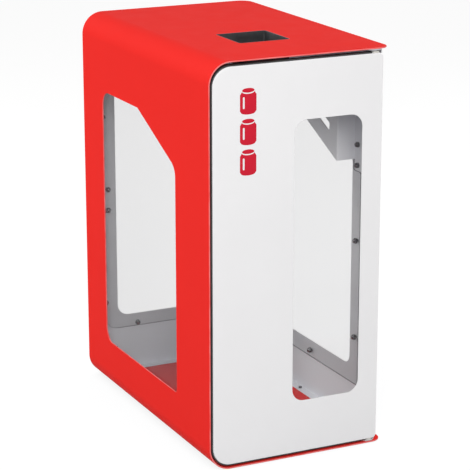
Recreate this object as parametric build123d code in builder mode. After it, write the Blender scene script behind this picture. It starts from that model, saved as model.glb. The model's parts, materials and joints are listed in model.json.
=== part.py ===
from build123d import *
import os

os.makedirs("parts", exist_ok=True)

# Frame: millimetres, +Z up, origin on the floor under the middle of the bin.
# The door faces -Y, +X is to the right of someone who stands in front of it.

# Overall size
height = 800
width = 384
depth = 620

# Outer wrap, one sheet folded into a C that is open on the right
wrap_sheet = 2.5
wrap_bend = 45
plate_corner = 25
aperture_width = 110
aperture_length = 110
aperture_corner = 6
aperture_offset = 2
aperture_margin = 154

# Windows in both side walls, with the upper front corner cut off along a slope
window_bottom_margin = 112
window_top_margin = 147
window_front_margin = 152
window_rear_margin = 105
slope_run = 180
slope_drop = 83
window_corner = 30
window_small_corner = 8
right_window_bottom_margin = 120
right_window_front_margin = 132
right_window_low_corner = 20

# Window in the rear wall
rear_window_margin = 65
rear_window_bottom_margin = 126
rear_window_corner = 25

# Body shell, the white sheet that makes the rear and right walls
body_sheet = 1.5
wall_inset = 4
fold_radius = 3
flange_width = 18
front_flange_width = 18
front_flange_setback = 26
bend_relief = 3.5
hinge_zone = 24

# Door, a shallow pan with a return and a lip on all sides
door_sheet = 1.5
door_depth = 18
door_lip = 12.5
door_gap_left = 5.5
door_gap_bottom = 6
door_gap_top = 8
door_edge_inset = 16.5
door_corner = 8
door_window_inset = 170
door_window_width = 146
door_window_bottom = 106.5
door_window_top = 113.5
door_window_corner = 25

# Clear panes and their fixings. There are many small studs, screws and bores,
# so each is drawn as a prism, whose corners lie on the real circle.
fixing_sides = 6
pane_sheet = 3
pane_overlap = 28
side_pane_overlap = 35
side_pane_edge = 12
side_pane_corner = 5
pane_clearance = 2
stud_inset = 20
stud_radius = 3
stud_length = 9
stud_play = 0.5
thread_clearance = 0.05
nut_flats = 10
nut_hex_height = 4.5
nut_crown_height = 4
nut_crown_inset = 2.5
nut_bore_depth = 6.5
plain_nut_height = 5
small_stud_radius = 2
small_nut_flats = 7
small_nut_height = 3.2
first_nut_rise = 75
last_nut_drop = 60
rear_nut_rise = 243
rear_nut_pitch = 46
rear_corner_nut_inset = 45

# Hinges: a plate, a fixed pin and a bush in the door at each end
hinge_plate_sheet = 3
hinge_plate_width = 32
hinge_plate_length = 62
hinge_plate_corner = 8
hinge_plate_setback = 2
hinge_inset = 14.5
pin_radius = 4
pin_length = 20
pin_fixed_clearance = 0.02
hinge_clearance = 0.05
bush_radius = 6
bush_rim_radius = 8
bush_reach = 6
bush_fixed_clearance = 0.02
hinge_stud_length = 7
hinge_stud_pitch = 16
hinge_stud_setback = 10

# Magnetic catches on the left wall
catch_height = 46
catch_width = 14
catch_block = 16
catch_foot = 24
catch_foot_sheet = 3
catch_gap = 0.3
catch_margin = 160
magnet_height = 34
magnet_width = 8
magnet_depth = 6
catch_stud_pitch = 24
catch_stud_length = 7

# Bag brackets on both side walls
bracket_sheet = 2
bracket_standoff = 40.5
bracket_setback = 120
bracket_length = 295
bracket_drop = 100
bracket_rail = 18
bracket_post = 33
bracket_band = 38
bracket_top_band = 20
bracket_slot_corner = 4
bracket_tab = 28
bracket_tab_drop = 21
bracket_fold = 1
bracket_nut_pitch = 42
bracket_nut_rise = 11
bracket_stud_length = 8

# Bag frame and the ring that clamps the bag on it
frame_sheet = 2
frame_side_clearance = 2
frame_opening_side = 34
frame_opening_front = 38
frame_opening_rear = 37
frame_opening_corner = 20
frame_outer_corner = 10
frame_collar = 25
screw_radius = 2.5
screw_play = 0.25
screw_head_radius = 4.5
screw_head_height = 2.5
screw_length = 6
screw_end_inset = 22
ring_rod_radius = 4
ring_rest_gap = 0.3
ring_side_inset = 22
ring_front_inset = 12
ring_rear_inset = 17
ring_corner = 16
ring_sides = 6
ear_sheet = 3
ear_spacing = 140
ear_width = 16
ear_cover = 4

# Black collar under the aperture
liner_wall = 2
liner_depth = 42
liner_rim = 15
liner_play = 0.3

# One overrun serves all cuts
overrun = 5


# Faces and edges that several pieces share
front_y = -depth / 2
rear_y = depth / 2
left_x = -width / 2
right_x = width / 2
inner_left_x = left_x + wrap_sheet
floor_z = wrap_sheet
ceiling_z = height - wrap_sheet
wall_x = right_x - wall_inset
inner_wall_x = wall_x - body_sheet
wall_y = rear_y - wall_inset
inner_wall_y = wall_y - body_sheet
front_flange_y = front_y + front_flange_setback
inner_bend = wrap_bend - wrap_sheet

# Side windows
window_front = front_y + window_front_margin
window_rear = rear_y - window_rear_margin
window_bottom = window_bottom_margin
window_top = height - window_top_margin
right_window_front = front_y + right_window_front_margin
right_window_bottom = right_window_bottom_margin
slope_rear = window_front + slope_run
slope_low = window_top - slope_drop
slope_share = slope_drop / slope_run

# Three nuts stand evenly between the lowest and the highest one of a column
first_nut = window_bottom + first_nut_rise
nut_pitch = (window_top - last_nut_drop - first_nut) / 2

# Rear window
rear_window_left = inner_left_x + rear_window_margin
rear_window_right = inner_wall_x - rear_window_margin
rear_window_width = rear_window_right - rear_window_left
rear_window_height = window_top - rear_window_bottom_margin
rear_window_x = (rear_window_left + rear_window_right) / 2
rear_window_z = rear_window_bottom_margin + rear_window_height / 2

# Door outline and window
door_left = inner_left_x + door_gap_left
door_right = right_x - door_edge_inset
door_bottom = floor_z + door_gap_bottom
door_top = ceiling_z - door_gap_top
door_back_y = front_y + door_depth
door_inner_y = front_y + door_sheet
door_window_left = door_left + door_window_inset
door_window_x = door_window_left + door_window_width / 2
door_window_low = door_bottom + door_window_bottom
door_window_high = door_top - door_window_top
door_window_height = door_window_high - door_window_low
door_window_z = (door_window_low + door_window_high) / 2
hinge_x = door_right - hinge_inset
hinge_y = front_y + door_depth / 2

# Bag frame and its brackets
bracket_face = inner_wall_x - bracket_standoff
bracket_front = front_y + bracket_setback
bracket_rear = bracket_front + bracket_length
bracket_top = height - bracket_drop
bracket_low = slope_low + slope_share * (bracket_front - window_front)
bracket_tab_low = bracket_low - bracket_tab_drop
bracket_nut_y = bracket_front - bracket_tab / 2
frame_top = bracket_top + frame_sheet
frame_front = bracket_front
frame_rear = bracket_rear
frame_half = bracket_face - frame_side_clearance
opening_half = frame_half - frame_opening_side
opening_front = frame_front + frame_opening_front
opening_rear = frame_rear - frame_opening_rear
ring_z = frame_top + ring_rest_gap + ring_rod_radius
ring_front_y = frame_front + ring_front_inset
ring_rear_y = frame_rear - ring_rear_inset
ring_half = frame_half - ring_side_inset
aperture_x = aperture_offset
aperture_y = front_y + aperture_margin + aperture_length / 2


def save(piece, name):
    """Label one piece and write it to its own file."""
    piece.part.label = name
    export_step(piece.part, f"parts/{name}.step")


def slope_height(y):
    """Height of the sloping window edge, drawn on past the window, at y."""
    return slope_low + slope_share * (y - window_front)


# Outlines. Each function returns a sketch on the given plane.

def side_window(plane, front, bottom, low_corner):
    """Side window, seen from the side. Its slope is the same line on both sides."""
    with BuildSketch(plane) as outline:
        with BuildLine():
            FilletPolyline(
                (front, bottom),
                (window_rear, bottom),
                (window_rear, window_top),
                (slope_rear, window_top),
                (front, slope_height(front)),
                radius=[
                    low_corner,
                    window_corner,
                    window_corner,
                    window_small_corner,
                    window_corner,
                ],
                close=True,
            )
        make_face()
    return outline.sketch


def side_pane(plane):
    """Side pane. Its front edge stays low, clear of the bracket's tab on the wall."""
    front = bracket_nut_y - side_pane_edge
    rear = window_rear + side_pane_overlap
    low = right_window_bottom - side_pane_overlap
    high = window_top + side_pane_overlap
    rise = side_pane_overlap * Vector(slope_run, slope_drop).length / slope_run
    tab_rear = bracket_front + bracket_sheet + pane_clearance
    tab_low = bracket_tab_low - pane_clearance
    with BuildSketch(plane) as outline:
        with BuildLine():
            FilletPolyline(
                (front, low),
                (rear, low),
                (rear, high),
                (slope_rear + (high - rise - window_top) / slope_share, high),
                (tab_rear, slope_height(tab_rear) + rise),
                (tab_rear, tab_low),
                (front, tab_low),
                radius=side_pane_corner,
                close=True,
            )
        make_face()
    return outline.sketch


def rear_window(plane, extra=0):
    """Rear window, or the pane that is larger all round."""
    with BuildSketch(plane) as outline:
        with Locations((rear_window_x, rear_window_z)):
            RectangleRounded(
                rear_window_width + 2 * extra,
                rear_window_height + 2 * extra,
                rear_window_corner,
            )
    return outline.sketch


def door_window(plane, extra=0):
    """Door window, or the pane that is larger all round."""
    with BuildSketch(plane) as outline:
        with Locations((door_window_x, door_window_z)):
            RectangleRounded(
                door_window_width + 2 * extra,
                door_window_height + 2 * extra,
                door_window_corner,
            )
    return outline.sketch


def door_face(plane, inset=0):
    """Door seen from the front: its left corners follow the folds of the wrap."""
    left_corner = inner_bend - door_gap_left - inset
    right_corner = max(door_corner - inset, door_sheet)
    low = door_bottom + inset
    high = door_top - inset
    with BuildSketch(plane) as outline:
        with BuildLine():
            FilletPolyline(
                (door_left + inset, low),
                (door_right - inset, low),
                (door_right - inset, high),
                (door_left + inset, high),
                radius=[left_corner, right_corner, right_corner, left_corner],
                close=True,
            )
        make_face()
    return outline.sketch


def flange_face(plane, start, end, inward):
    """Flange between two points, its ends cut back at 45 degrees."""
    cut = (end - start).normalized() * flange_width
    corners = (start, end, end + inward - cut, start + inward + cut)
    with BuildSketch(plane) as outline:
        with BuildLine():
            Polyline(*[(corner.X, corner.Y) for corner in corners], close=True)
        make_face()
    return outline.sketch


def fixing_holes(plane, points, radius):
    """Clearance holes for small fixings at the points of a plane."""
    with BuildSketch(plane) as outline:
        with Locations(*points):
            RegularPolygon(radius, fixing_sides)
    return outline.sketch


def rear_pane(plane):
    """Rear pane, larger all round than its window."""
    return rear_window(plane, pane_overlap)


def door_pane(plane):
    """Door pane, larger all round than its window."""
    return door_window(plane, pane_overlap)


# Where the studs stand, in the wall's own plane

def side_stud_points():
    """Studs round a side window, as (y, z)."""
    front = bracket_nut_y
    rear = window_rear + stud_inset
    low = right_window_bottom - stud_inset
    high = window_top + stud_inset
    window_middle = (right_window_front + window_rear) / 2
    slope_middle = (window_front + slope_rear) / 2
    along_slope = Vector(slope_run, slope_drop).normalized()
    slope_stud = (
        slope_middle - along_slope.Y * stud_inset,
        slope_height(slope_middle) + along_slope.X * stud_inset,
    )
    return [
        (front, first_nut),
        (front, first_nut + nut_pitch),
        (rear, first_nut),
        (rear, first_nut + nut_pitch),
        (rear, first_nut + 2 * nut_pitch),
        (window_middle - window_corner, low),
        (window_rear - window_corner, low),
        ((slope_rear + window_rear) / 2, high),
        slope_stud,
    ]


def rear_stud_points():
    """Studs round the rear window, as (x, z): a close pair halfway up each side."""
    low = rear_window_bottom_margin - stud_inset
    high = window_top + stud_inset
    pair = rear_window_bottom_margin + rear_nut_rise
    points = []
    for x in (rear_window_left - stud_inset, rear_window_right + stud_inset):
        points += [(x, pair), (x, pair + rear_nut_pitch)]
    corner_left = rear_window_left + rear_corner_nut_inset
    corner_right = rear_window_right - rear_corner_nut_inset
    for x in (corner_left, corner_right):
        points += [(x, low), (x, high)]
    return points


def door_stud_points():
    """Studs round the door window, as (x, z)."""
    left = door_window_left - stud_inset
    right = door_window_left + door_window_width + stud_inset
    points = []
    for x in (left, right):
        for step in (-1, 0, 1):
            points.append((x, door_window_z + step * nut_pitch))
    for z in (door_window_low - stud_inset, door_window_high + stud_inset):
        points.append((door_window_x, z))
    return points


# Fixings: a welded stud passes through the sheet's hole and a nut goes on its end.
# A place is (plane, way, points): way is +1 or -1 along the plane's normal.

def studs_at(places, length, radius=stud_radius):
    """Plain welded studs."""
    with BuildPart() as studs:
        for plane, way, points in places:
            with BuildSketch(plane):
                with Locations(*points):
                    RegularPolygon(radius, fixing_sides)
            extrude(amount=way * length)
    return studs


def cap_nut():
    """Cap nut on the ground plane: hexagon, sloping crown and blind bore."""
    with BuildPart() as nut:
        with BuildSketch():
            RegularPolygon(nut_flats / 2, 6, major_radius=False)
        extrude(amount=nut_hex_height + nut_crown_height)
        top = nut.faces().sort_by(Axis.Z)[-1]
        chamfer(top.edges(), length=nut_crown_inset, length2=nut_crown_height, reference=top)
        with BuildSketch():
            RegularPolygon(stud_radius + thread_clearance, fixing_sides)
        extrude(amount=nut_bore_depth, mode=Mode.SUBTRACT)
    return nut.part


def cap_nuts_at(places, seat):
    """Cap nuts on a sheet as thick as seat."""
    nut = cap_nut()
    with BuildPart() as nuts:
        for plane, way, points in places:
            for u, v in points:
                corner = plane.offset(way * seat).from_local_coords(Vector(u, v, 0))
                with Locations(Plane(corner, x_dir=plane.x_dir, z_dir=plane.z_dir * way)):
                    add(nut)
    return nuts


def plain_nuts_at(places, seat, flats=nut_flats, height=plain_nut_height, radius=stud_radius):
    """Open hexagon nuts on a sheet as thick as seat."""
    with BuildPart() as nuts:
        for plane, way, points in places:
            with BuildSketch(plane.offset(way * seat)):
                with Locations(*points):
                    RegularPolygon(flats / 2, 6, major_radius=False)
                    RegularPolygon(radius + thread_clearance, fixing_sides, mode=Mode.SUBTRACT)
            extrude(amount=way * height)
    return nuts


# Outer wrap

with BuildPart() as outer_wrap:
    with BuildSketch(Plane.XZ.offset(-front_y)):
        with BuildLine():
            FilletPolyline(
                (right_x, 0),
                (left_x, 0),
                (left_x, height),
                (right_x, height),
                radius=wrap_bend,
            )
            offset(amount=wrap_sheet, side=Side.RIGHT)
        make_face()
    extrude(amount=-depth)
    fillet(outer_wrap.edges().filter_by(Axis.Z).group_by(Axis.X)[-1], plate_corner)
    with BuildSketch(Plane.XY.offset(height)):
        with Locations((aperture_x, aperture_y)):
            RectangleRounded(aperture_width, aperture_length, aperture_corner)
    extrude(amount=-wrap_sheet, mode=Mode.SUBTRACT)
    left_window = side_window(
        Plane.YZ.offset(left_x), window_front, window_bottom, window_small_corner
    )
    extrude(left_window, amount=wrap_sheet, mode=Mode.SUBTRACT)
save(outer_wrap, "outer_wrap")


# Body shell

# Straight stretches of the top and bottom flanges, clear of the folds
rear_flange_left = left_x + wrap_bend + bend_relief
rear_flange_right = wall_x - plate_corner - bend_relief
side_flange_rear = wall_y - plate_corner - bend_relief
side_flange_front = front_y + hinge_plate_setback + hinge_plate_length + bend_relief
flange_levels = (floor_z, ceiling_z - body_sheet)
left_flange_low = wrap_bend + bend_relief
left_flange_high = height - wrap_bend - bend_relief

side_flange_x = inner_wall_x - flange_width / 2
rear_flange_y = inner_wall_y - flange_width / 2
body_stud_y = (side_flange_front + side_flange_rear) / 2
body_stud_reach = (side_flange_rear - side_flange_front) / 2 - flange_width
body_stud_x = (rear_flange_left + rear_flange_right) / 2
body_stud_spread = (rear_flange_right - rear_flange_left) / 2 - flange_width
body_plate_points = [
    (side_flange_x, body_stud_y - body_stud_reach),
    (side_flange_x, body_stud_y),
    (side_flange_x, body_stud_y + body_stud_reach),
    (body_stud_x - body_stud_spread, rear_flange_y),
    (body_stud_x + body_stud_spread, rear_flange_y),
]
body_wall_points = [
    (rear_flange_y, left_flange_low + flange_width),
    (rear_flange_y, left_flange_high - flange_width),
]


body_joints = (
    (Plane.XY.offset(floor_z), 1, body_plate_points),
    (Plane.XY.offset(ceiling_z), -1, body_plate_points),
    (Plane.YZ.offset(inner_left_x), 1, body_wall_points),
)

with BuildPart() as body_shell:
    # Walls in plan: left flange, rear wall, right wall, front flange
    with BuildSketch(Plane.XY.offset(floor_z)):
        with BuildLine():
            FilletPolyline(
                (inner_left_x, inner_wall_y - flange_width),
                (inner_left_x, wall_y),
                (wall_x, wall_y),
                (wall_x, front_flange_y),
                (wall_x - front_flange_width, front_flange_y),
                radius=[fold_radius, plate_corner - wall_inset, fold_radius],
            )
            offset(amount=body_sheet, side=Side.RIGHT)
        make_face()
    extrude(amount=ceiling_z - floor_z)
    # The rear wall's left corners clear the folds of the wrap
    with BuildSketch(Plane.XZ.offset(-rear_y)):
        with BuildLine():
            FilletPolyline(
                (inner_left_x, floor_z),
                (right_x, floor_z),
                (right_x, ceiling_z),
                (inner_left_x, ceiling_z),
                radius=[inner_bend + bend_relief, wrap_sheet, wrap_sheet, inner_bend + bend_relief],
                close=True,
            )
        make_face()
    extrude(amount=depth, mode=Mode.INTERSECT)
    for low, high in ((0, left_flange_low), (left_flange_high, height)):
        with BuildSketch(Plane.YZ.offset(left_x)):
            with Locations(((inner_wall_y - flange_width / 2 - overrun / 2), (low + high) / 2)):
                Rectangle(flange_width + overrun, high - low)
        extrude(amount=wrap_sheet + body_sheet + fold_radius, mode=Mode.SUBTRACT)
    # The front flange stops short of the hinge plates
    for low, high in ((0, floor_z + hinge_zone), (ceiling_z - hinge_zone, height)):
        with BuildSketch(Plane.XZ.offset(-front_flange_y + overrun)):
            with Locations((wall_x - fold_radius - front_flange_width / 2, (low + high) / 2)):
                Rectangle(front_flange_width, high - low)
        extrude(amount=-(overrun + fold_radius), mode=Mode.SUBTRACT)
    # Top and bottom flanges
    for level in flange_levels:
        rear_flange = flange_face(
            Plane.XY.offset(level),
            Vector(rear_flange_left, inner_wall_y),
            Vector(rear_flange_right, inner_wall_y),
            Vector(0, -flange_width),
        )
        side_flange = flange_face(
            Plane.XY.offset(level),
            Vector(inner_wall_x, side_flange_rear),
            Vector(inner_wall_x, side_flange_front),
            Vector(-flange_width, 0),
        )
        extrude(rear_flange, amount=body_sheet, dir=(0, 0, 1))
        extrude(side_flange, amount=body_sheet, dir=(0, 0, 1))
    # Windows
    right_window = side_window(
        Plane.YZ.offset(wall_x), right_window_front, right_window_bottom, right_window_low_corner
    )
    extrude(right_window, amount=-body_sheet, mode=Mode.SUBTRACT)
    extrude(rear_window(Plane.XZ.offset(-wall_y)), amount=body_sheet, mode=Mode.SUBTRACT)
    # Holes for the studs of the wrap
    for plane, way, points in body_joints:
        holes = fixing_holes(plane, points, small_stud_radius + stud_play)
        extrude(holes, amount=way * body_sheet, mode=Mode.SUBTRACT)
save(body_shell, "body_shell")
small_studs = studs_at(body_joints, body_sheet + small_nut_height, small_stud_radius)
small_nuts = plain_nuts_at(
    body_joints, body_sheet, small_nut_flats, small_nut_height, small_stud_radius
)
save(small_studs, "body_studs")
save(small_nuts, "body_nuts")


# Clear panes with their studs and cap nuts

side_points = side_stud_points()
# Name, wall's inner face, way into the bin, outline, studs
panes = (
    ("left_pane", Plane.YZ.offset(inner_left_x), 1, side_pane, side_points),
    ("right_pane", Plane.YZ.offset(inner_wall_x), -1, side_pane, side_points),
    ("rear_pane", Plane.XZ.offset(-inner_wall_y), 1, rear_pane, rear_stud_points()),
    ("door_pane", Plane.XZ.offset(-door_inner_y), -1, door_pane, door_stud_points()),
)
for name, plane, way, pane_outline, points in panes:
    with BuildPart() as pane:
        extrude(pane_outline(plane), amount=way * pane_sheet)
        holes = fixing_holes(plane, points, stud_radius + stud_play)
        extrude(holes, amount=way * pane_sheet, mode=Mode.SUBTRACT)
    save(pane, name)
    place = [(plane, way, points)]
    save(studs_at(place, stud_length), f"{name}_studs")
    save(cap_nuts_at(place, pane_sheet), f"{name}_nuts")


# Door panel

door_hollow = door_depth - 2 * door_sheet
with BuildPart() as door_panel:
    extrude(door_face(Plane.XZ.offset(-front_y)), amount=-door_depth)
    hollow = door_face(Plane.XZ.offset(-door_inner_y), door_sheet)
    extrude(hollow, amount=-door_hollow, mode=Mode.SUBTRACT)
    back_opening = door_face(Plane.XZ.offset(-door_back_y), door_sheet + door_lip)
    extrude(back_opening, amount=door_sheet, mode=Mode.SUBTRACT)
    extrude(door_window(Plane.XZ.offset(-front_y)), amount=-door_sheet, mode=Mode.SUBTRACT)
    # Holes for the hinge bushes, in the bottom and top returns
    for level in (door_bottom, door_top - door_sheet):
        with BuildSketch(Plane.XY.offset(level)):
            with Locations((hinge_x, hinge_y)):
                Circle(bush_radius)
        extrude(amount=door_sheet, mode=Mode.SUBTRACT)
save(door_panel, "door_panel")


# Hinges

hinge_plate_front = front_y + hinge_plate_setback
hinge_plate_y = hinge_plate_front + hinge_plate_length / 2
hinge_stud_rear = hinge_plate_front + hinge_plate_length - hinge_stud_setback
hinge_points = [
    (hinge_x, hinge_stud_rear),
    (hinge_x, hinge_stud_rear - hinge_stud_pitch),
]
# Name, level of the sheet that carries it, way to the door, edge of the door
hinges = (
    ("lower", floor_z, 1, door_bottom),
    ("upper", ceiling_z, -1, door_top),
)
hinge_places = [(Plane.XY.offset(base), way, hinge_points) for _, base, way, _ in hinges]
save(studs_at(hinge_places, hinge_stud_length), "hinge_studs")
save(plain_nuts_at(hinge_places, hinge_plate_sheet), "hinge_nuts")

for name, base, way, edge in hinges:
    with BuildPart() as hinge_plate:
        with BuildSketch(Plane.XY.offset(base)):
            with Locations((hinge_x, hinge_plate_y)):
                plate = Rectangle(hinge_plate_width, hinge_plate_length)
                chamfer(plate.vertices(), hinge_plate_corner)
            with Locations((hinge_x, hinge_y)):
                Circle(pin_radius + pin_fixed_clearance, mode=Mode.SUBTRACT)
            with Locations(*hinge_points):
                RegularPolygon(stud_radius + stud_play, fixing_sides, mode=Mode.SUBTRACT)
        extrude(amount=way * hinge_plate_sheet)
    save(hinge_plate, f"{name}_hinge_plate")

with BuildPart() as hinge_pins:
    for name, base, way, edge in hinges:
        with BuildSketch(Plane.XY.offset(base)):
            with Locations((hinge_x, hinge_y)):
                Circle(pin_radius)
        extrude(amount=way * pin_length)
save(hinge_pins, "hinge_pins")

# The door rests on the rim of the lower bush. The upper rim stays short of its
# plate, which leaves the door a little play up and down.
bush_rim = door_gap_bottom - hinge_plate_sheet
with BuildPart() as hinge_bushes:
    for name, base, way, edge in hinges:
        with BuildSketch(Plane.XY.offset(edge)):
            with Locations((hinge_x, hinge_y)):
                Circle(bush_rim_radius)
        extrude(amount=-way * bush_rim)
        with BuildSketch(Plane.XY.offset(edge)):
            with Locations((hinge_x, hinge_y)):
                Circle(bush_radius - bush_fixed_clearance)
        extrude(amount=way * bush_reach)
        with BuildSketch(Plane.XY.offset(edge - way * bush_rim)):
            with Locations((hinge_x, hinge_y)):
                Circle(pin_radius + hinge_clearance)
        extrude(amount=way * (bush_rim + bush_reach), mode=Mode.SUBTRACT)
save(hinge_bushes, "hinge_bushes")


# Magnetic catches

catch_front = door_back_y + catch_gap
catch_block_y = catch_front + catch_block
catch_levels = (("lower", catch_margin), ("upper", height - catch_margin))
catch_wall = Plane.YZ.offset(inner_left_x)
catch_points = []
for name, z in catch_levels:
    stud_y = catch_block_y + catch_foot / 2
    catch_points += [(stud_y, z - catch_stud_pitch / 2), (stud_y, z + catch_stud_pitch / 2)]
    with BuildPart() as catch:
        with BuildSketch(Plane.XY.offset(z - catch_height / 2)):
            with BuildLine():
                Polyline(
                    (inner_left_x, catch_front),
                    (inner_left_x + catch_width, catch_front),
                    (inner_left_x + catch_width, catch_block_y),
                    (inner_left_x + catch_foot_sheet, catch_block_y),
                    (inner_left_x + catch_foot_sheet, catch_block_y + catch_foot),
                    (inner_left_x, catch_block_y + catch_foot),
                    close=True,
                )
            make_face()
        extrude(amount=catch_height)
        fillet(catch.edges().filter_by(Axis.Z).group_by(Axis.X)[-1], catch_foot_sheet / 2)
        with BuildSketch(Plane.XZ.offset(-catch_front)):
            with Locations((inner_left_x + catch_width / 2, z)):
                Rectangle(magnet_width, magnet_height)
        extrude(amount=-magnet_depth, mode=Mode.SUBTRACT)
        holes = fixing_holes(catch_wall, catch_points[-2:], stud_radius + stud_play)
        extrude(holes, amount=catch_foot_sheet, mode=Mode.SUBTRACT)
    save(catch, f"{name}_catch")

    with BuildPart() as magnet:
        with BuildSketch(Plane.XZ.offset(-catch_front)):
            with Locations((inner_left_x + catch_width / 2, z)):
                Rectangle(magnet_width, magnet_height)
        extrude(amount=-magnet_depth)
    save(magnet, f"{name}_catch_magnet")

catch_place = [(catch_wall, 1, catch_points)]
save(studs_at(catch_place, catch_stud_length), "catch_studs")
save(plain_nuts_at(catch_place, catch_foot_sheet), "catch_nuts")


# Bag brackets

bracket_points = [
    (bracket_nut_y, bracket_tab_low + bracket_nut_rise),
    (bracket_nut_y, bracket_tab_low + bracket_nut_rise + bracket_nut_pitch),
]
bracket_walls = (("left", -1, -inner_left_x), ("right", 1, inner_wall_x))
slot_front = bracket_front + bracket_post
slot_top = bracket_top - bracket_top_band
slot_low = slope_height(slot_front) + bracket_band
slot_rear = slot_front + (slot_top - slot_low) / slope_share
screw_rows = (bracket_front + screw_end_inset, bracket_rear - screw_end_inset)

for name, side, wall in bracket_walls:
    with BuildPart() as bracket:
        # Folded strip in plan: tab on the wall, front flange, side plate
        with BuildSketch(Plane.XY.offset(bracket_tab_low)):
            with BuildLine():
                FilletPolyline(
                    (side * wall, bracket_front - bracket_tab),
                    (side * wall, bracket_front + bracket_sheet),
                    (side * bracket_face, bracket_front + bracket_sheet),
                    (side * bracket_face, bracket_rear),
                    radius=[bracket_fold + bracket_sheet, bracket_fold],
                )
                offset(amount=bracket_sheet, side=Side.LEFT if side > 0 else Side.RIGHT)
            make_face()
        extrude(amount=bracket_top - bracket_tab_low)
        # The side plate and the flange rise from the slope of the window
        with BuildSketch(Plane.YZ.offset(side * (bracket_face - bracket_sheet - overrun))):
            with BuildLine():
                Polyline(
                    (bracket_front - overrun, bracket_tab_low - overrun),
                    (bracket_front - overrun, bracket_low),
                    (bracket_front, bracket_low),
                    (bracket_rear + overrun, slope_height(bracket_rear + overrun)),
                    (bracket_rear + overrun, bracket_tab_low - overrun),
                    close=True,
                )
            make_face()
        flange_reach = wall - bracket_face - bracket_sheet
        extrude(amount=side * (flange_reach + 2 * bracket_sheet + overrun), mode=Mode.SUBTRACT)
        # Rail that carries the bag frame
        rail_x = side * (bracket_face - bracket_rail / 2)
        with BuildSketch(Plane.XY.offset(bracket_top)):
            with Locations((rail_x, (bracket_front + bracket_rear) / 2)):
                Rectangle(bracket_rail, bracket_length)
        extrude(amount=-bracket_sheet)
        # Triangular slot in the side plate
        with BuildSketch(Plane.YZ.offset(side * (bracket_face - bracket_sheet - overrun))):
            with BuildLine():
                FilletPolyline(
                    (slot_front, slot_low),
                    (slot_rear, slot_top),
                    (slot_front, slot_top),
                    radius=bracket_slot_corner,
                    close=True,
                )
            make_face()
        extrude(amount=side * (bracket_sheet + 2 * overrun), mode=Mode.SUBTRACT)
        holes = fixing_holes(Plane.YZ.offset(side * wall), bracket_points, stud_radius + stud_play)
        extrude(holes, amount=-side * bracket_sheet, mode=Mode.SUBTRACT)
        rail_points = [(rail_x, y) for y in screw_rows]
        screw_holes = fixing_holes(
            Plane.XY.offset(bracket_top), rail_points, screw_radius + thread_clearance
        )
        extrude(screw_holes, amount=-bracket_sheet, mode=Mode.SUBTRACT)
    save(bracket, f"{name}_bag_bracket")

bracket_places = [
    (Plane.YZ.offset(side * wall), -side, bracket_points) for _, side, wall in bracket_walls
]
save(studs_at(bracket_places, bracket_stud_length), "bracket_studs")
save(cap_nuts_at(bracket_places, bracket_sheet), "bracket_nuts")


# Bag frame

frame_middle_y = (frame_front + frame_rear) / 2
opening_middle_y = (opening_front + opening_rear) / 2
ear_top = ring_z + ring_rod_radius + ear_cover
frame_screw_points = []
for side in (-1, 1):
    for y in screw_rows:
        frame_screw_points.append((side * (bracket_face - bracket_rail / 2), y))

with BuildPart() as bag_frame:
    with BuildSketch(Plane.XY.offset(bracket_top)):
        with Locations((0, frame_middle_y)):
            frame_plate = Rectangle(2 * frame_half, frame_rear - frame_front)
            chamfer(frame_plate.vertices(), frame_outer_corner)
    extrude(amount=frame_sheet)
    with BuildSketch(Plane.XY.offset(bracket_top)):
        with Locations((0, opening_middle_y)):
            RectangleRounded(
                2 * (opening_half + frame_sheet),
                opening_rear - opening_front + 2 * frame_sheet,
                frame_opening_corner + frame_sheet,
            )
    extrude(amount=-frame_collar)
    with BuildSketch(Plane.XY.offset(frame_top)):
        with Locations((0, opening_middle_y)):
            RectangleRounded(2 * opening_half, opening_rear - opening_front, frame_opening_corner)
    extrude(amount=-(frame_sheet + frame_collar), mode=Mode.SUBTRACT)
    # Two ears in which the rear bar of the ring turns
    for x in (-ear_spacing / 2, ear_spacing / 2):
        with BuildSketch(Plane.YZ.offset(x - ear_sheet / 2)):
            with Locations((ring_rear_y, (frame_top + ear_top) / 2)):
                ear = Rectangle(ear_width, ear_top - frame_top)
                chamfer(ear.vertices().group_by(Axis.Y)[-1], ear_cover)
            with Locations((ring_rear_y, ring_z)):
                Circle(ring_rod_radius + hinge_clearance, mode=Mode.SUBTRACT)
        extrude(amount=ear_sheet)
    holes = fixing_holes(Plane.XY.offset(frame_top), frame_screw_points, screw_radius + screw_play)
    extrude(holes, amount=-frame_sheet, mode=Mode.SUBTRACT)
save(bag_frame, "bag_frame")

with BuildPart() as frame_screws:
    with BuildSketch(Plane.XY.offset(frame_top)):
        with Locations(*frame_screw_points):
            RegularPolygon(screw_head_radius, fixing_sides)
    extrude(amount=screw_head_height)
    with BuildSketch(Plane.XY.offset(frame_top)):
        with Locations(*frame_screw_points):
            RegularPolygon(screw_radius, fixing_sides)
    extrude(amount=-screw_length)
save(frame_screws, "frame_screws")


# Bag ring, one rod bent into a loop

with BuildPart() as bag_ring:
    with BuildLine(Plane.XY.offset(ring_z)) as loop:
        FilletPolyline(
            (-ring_half, ring_rear_y),
            (-ring_half, ring_front_y),
            (ring_half, ring_front_y),
            (ring_half, ring_rear_y),
            radius=ring_corner,
            close=True,
        )
    with BuildSketch(Plane(origin=loop.line @ 0, z_dir=loop.line % 0)):
        RegularPolygon(ring_rod_radius, ring_sides)
    sweep(path=loop.line)
save(bag_ring, "bag_ring")


# Aperture liner

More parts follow.
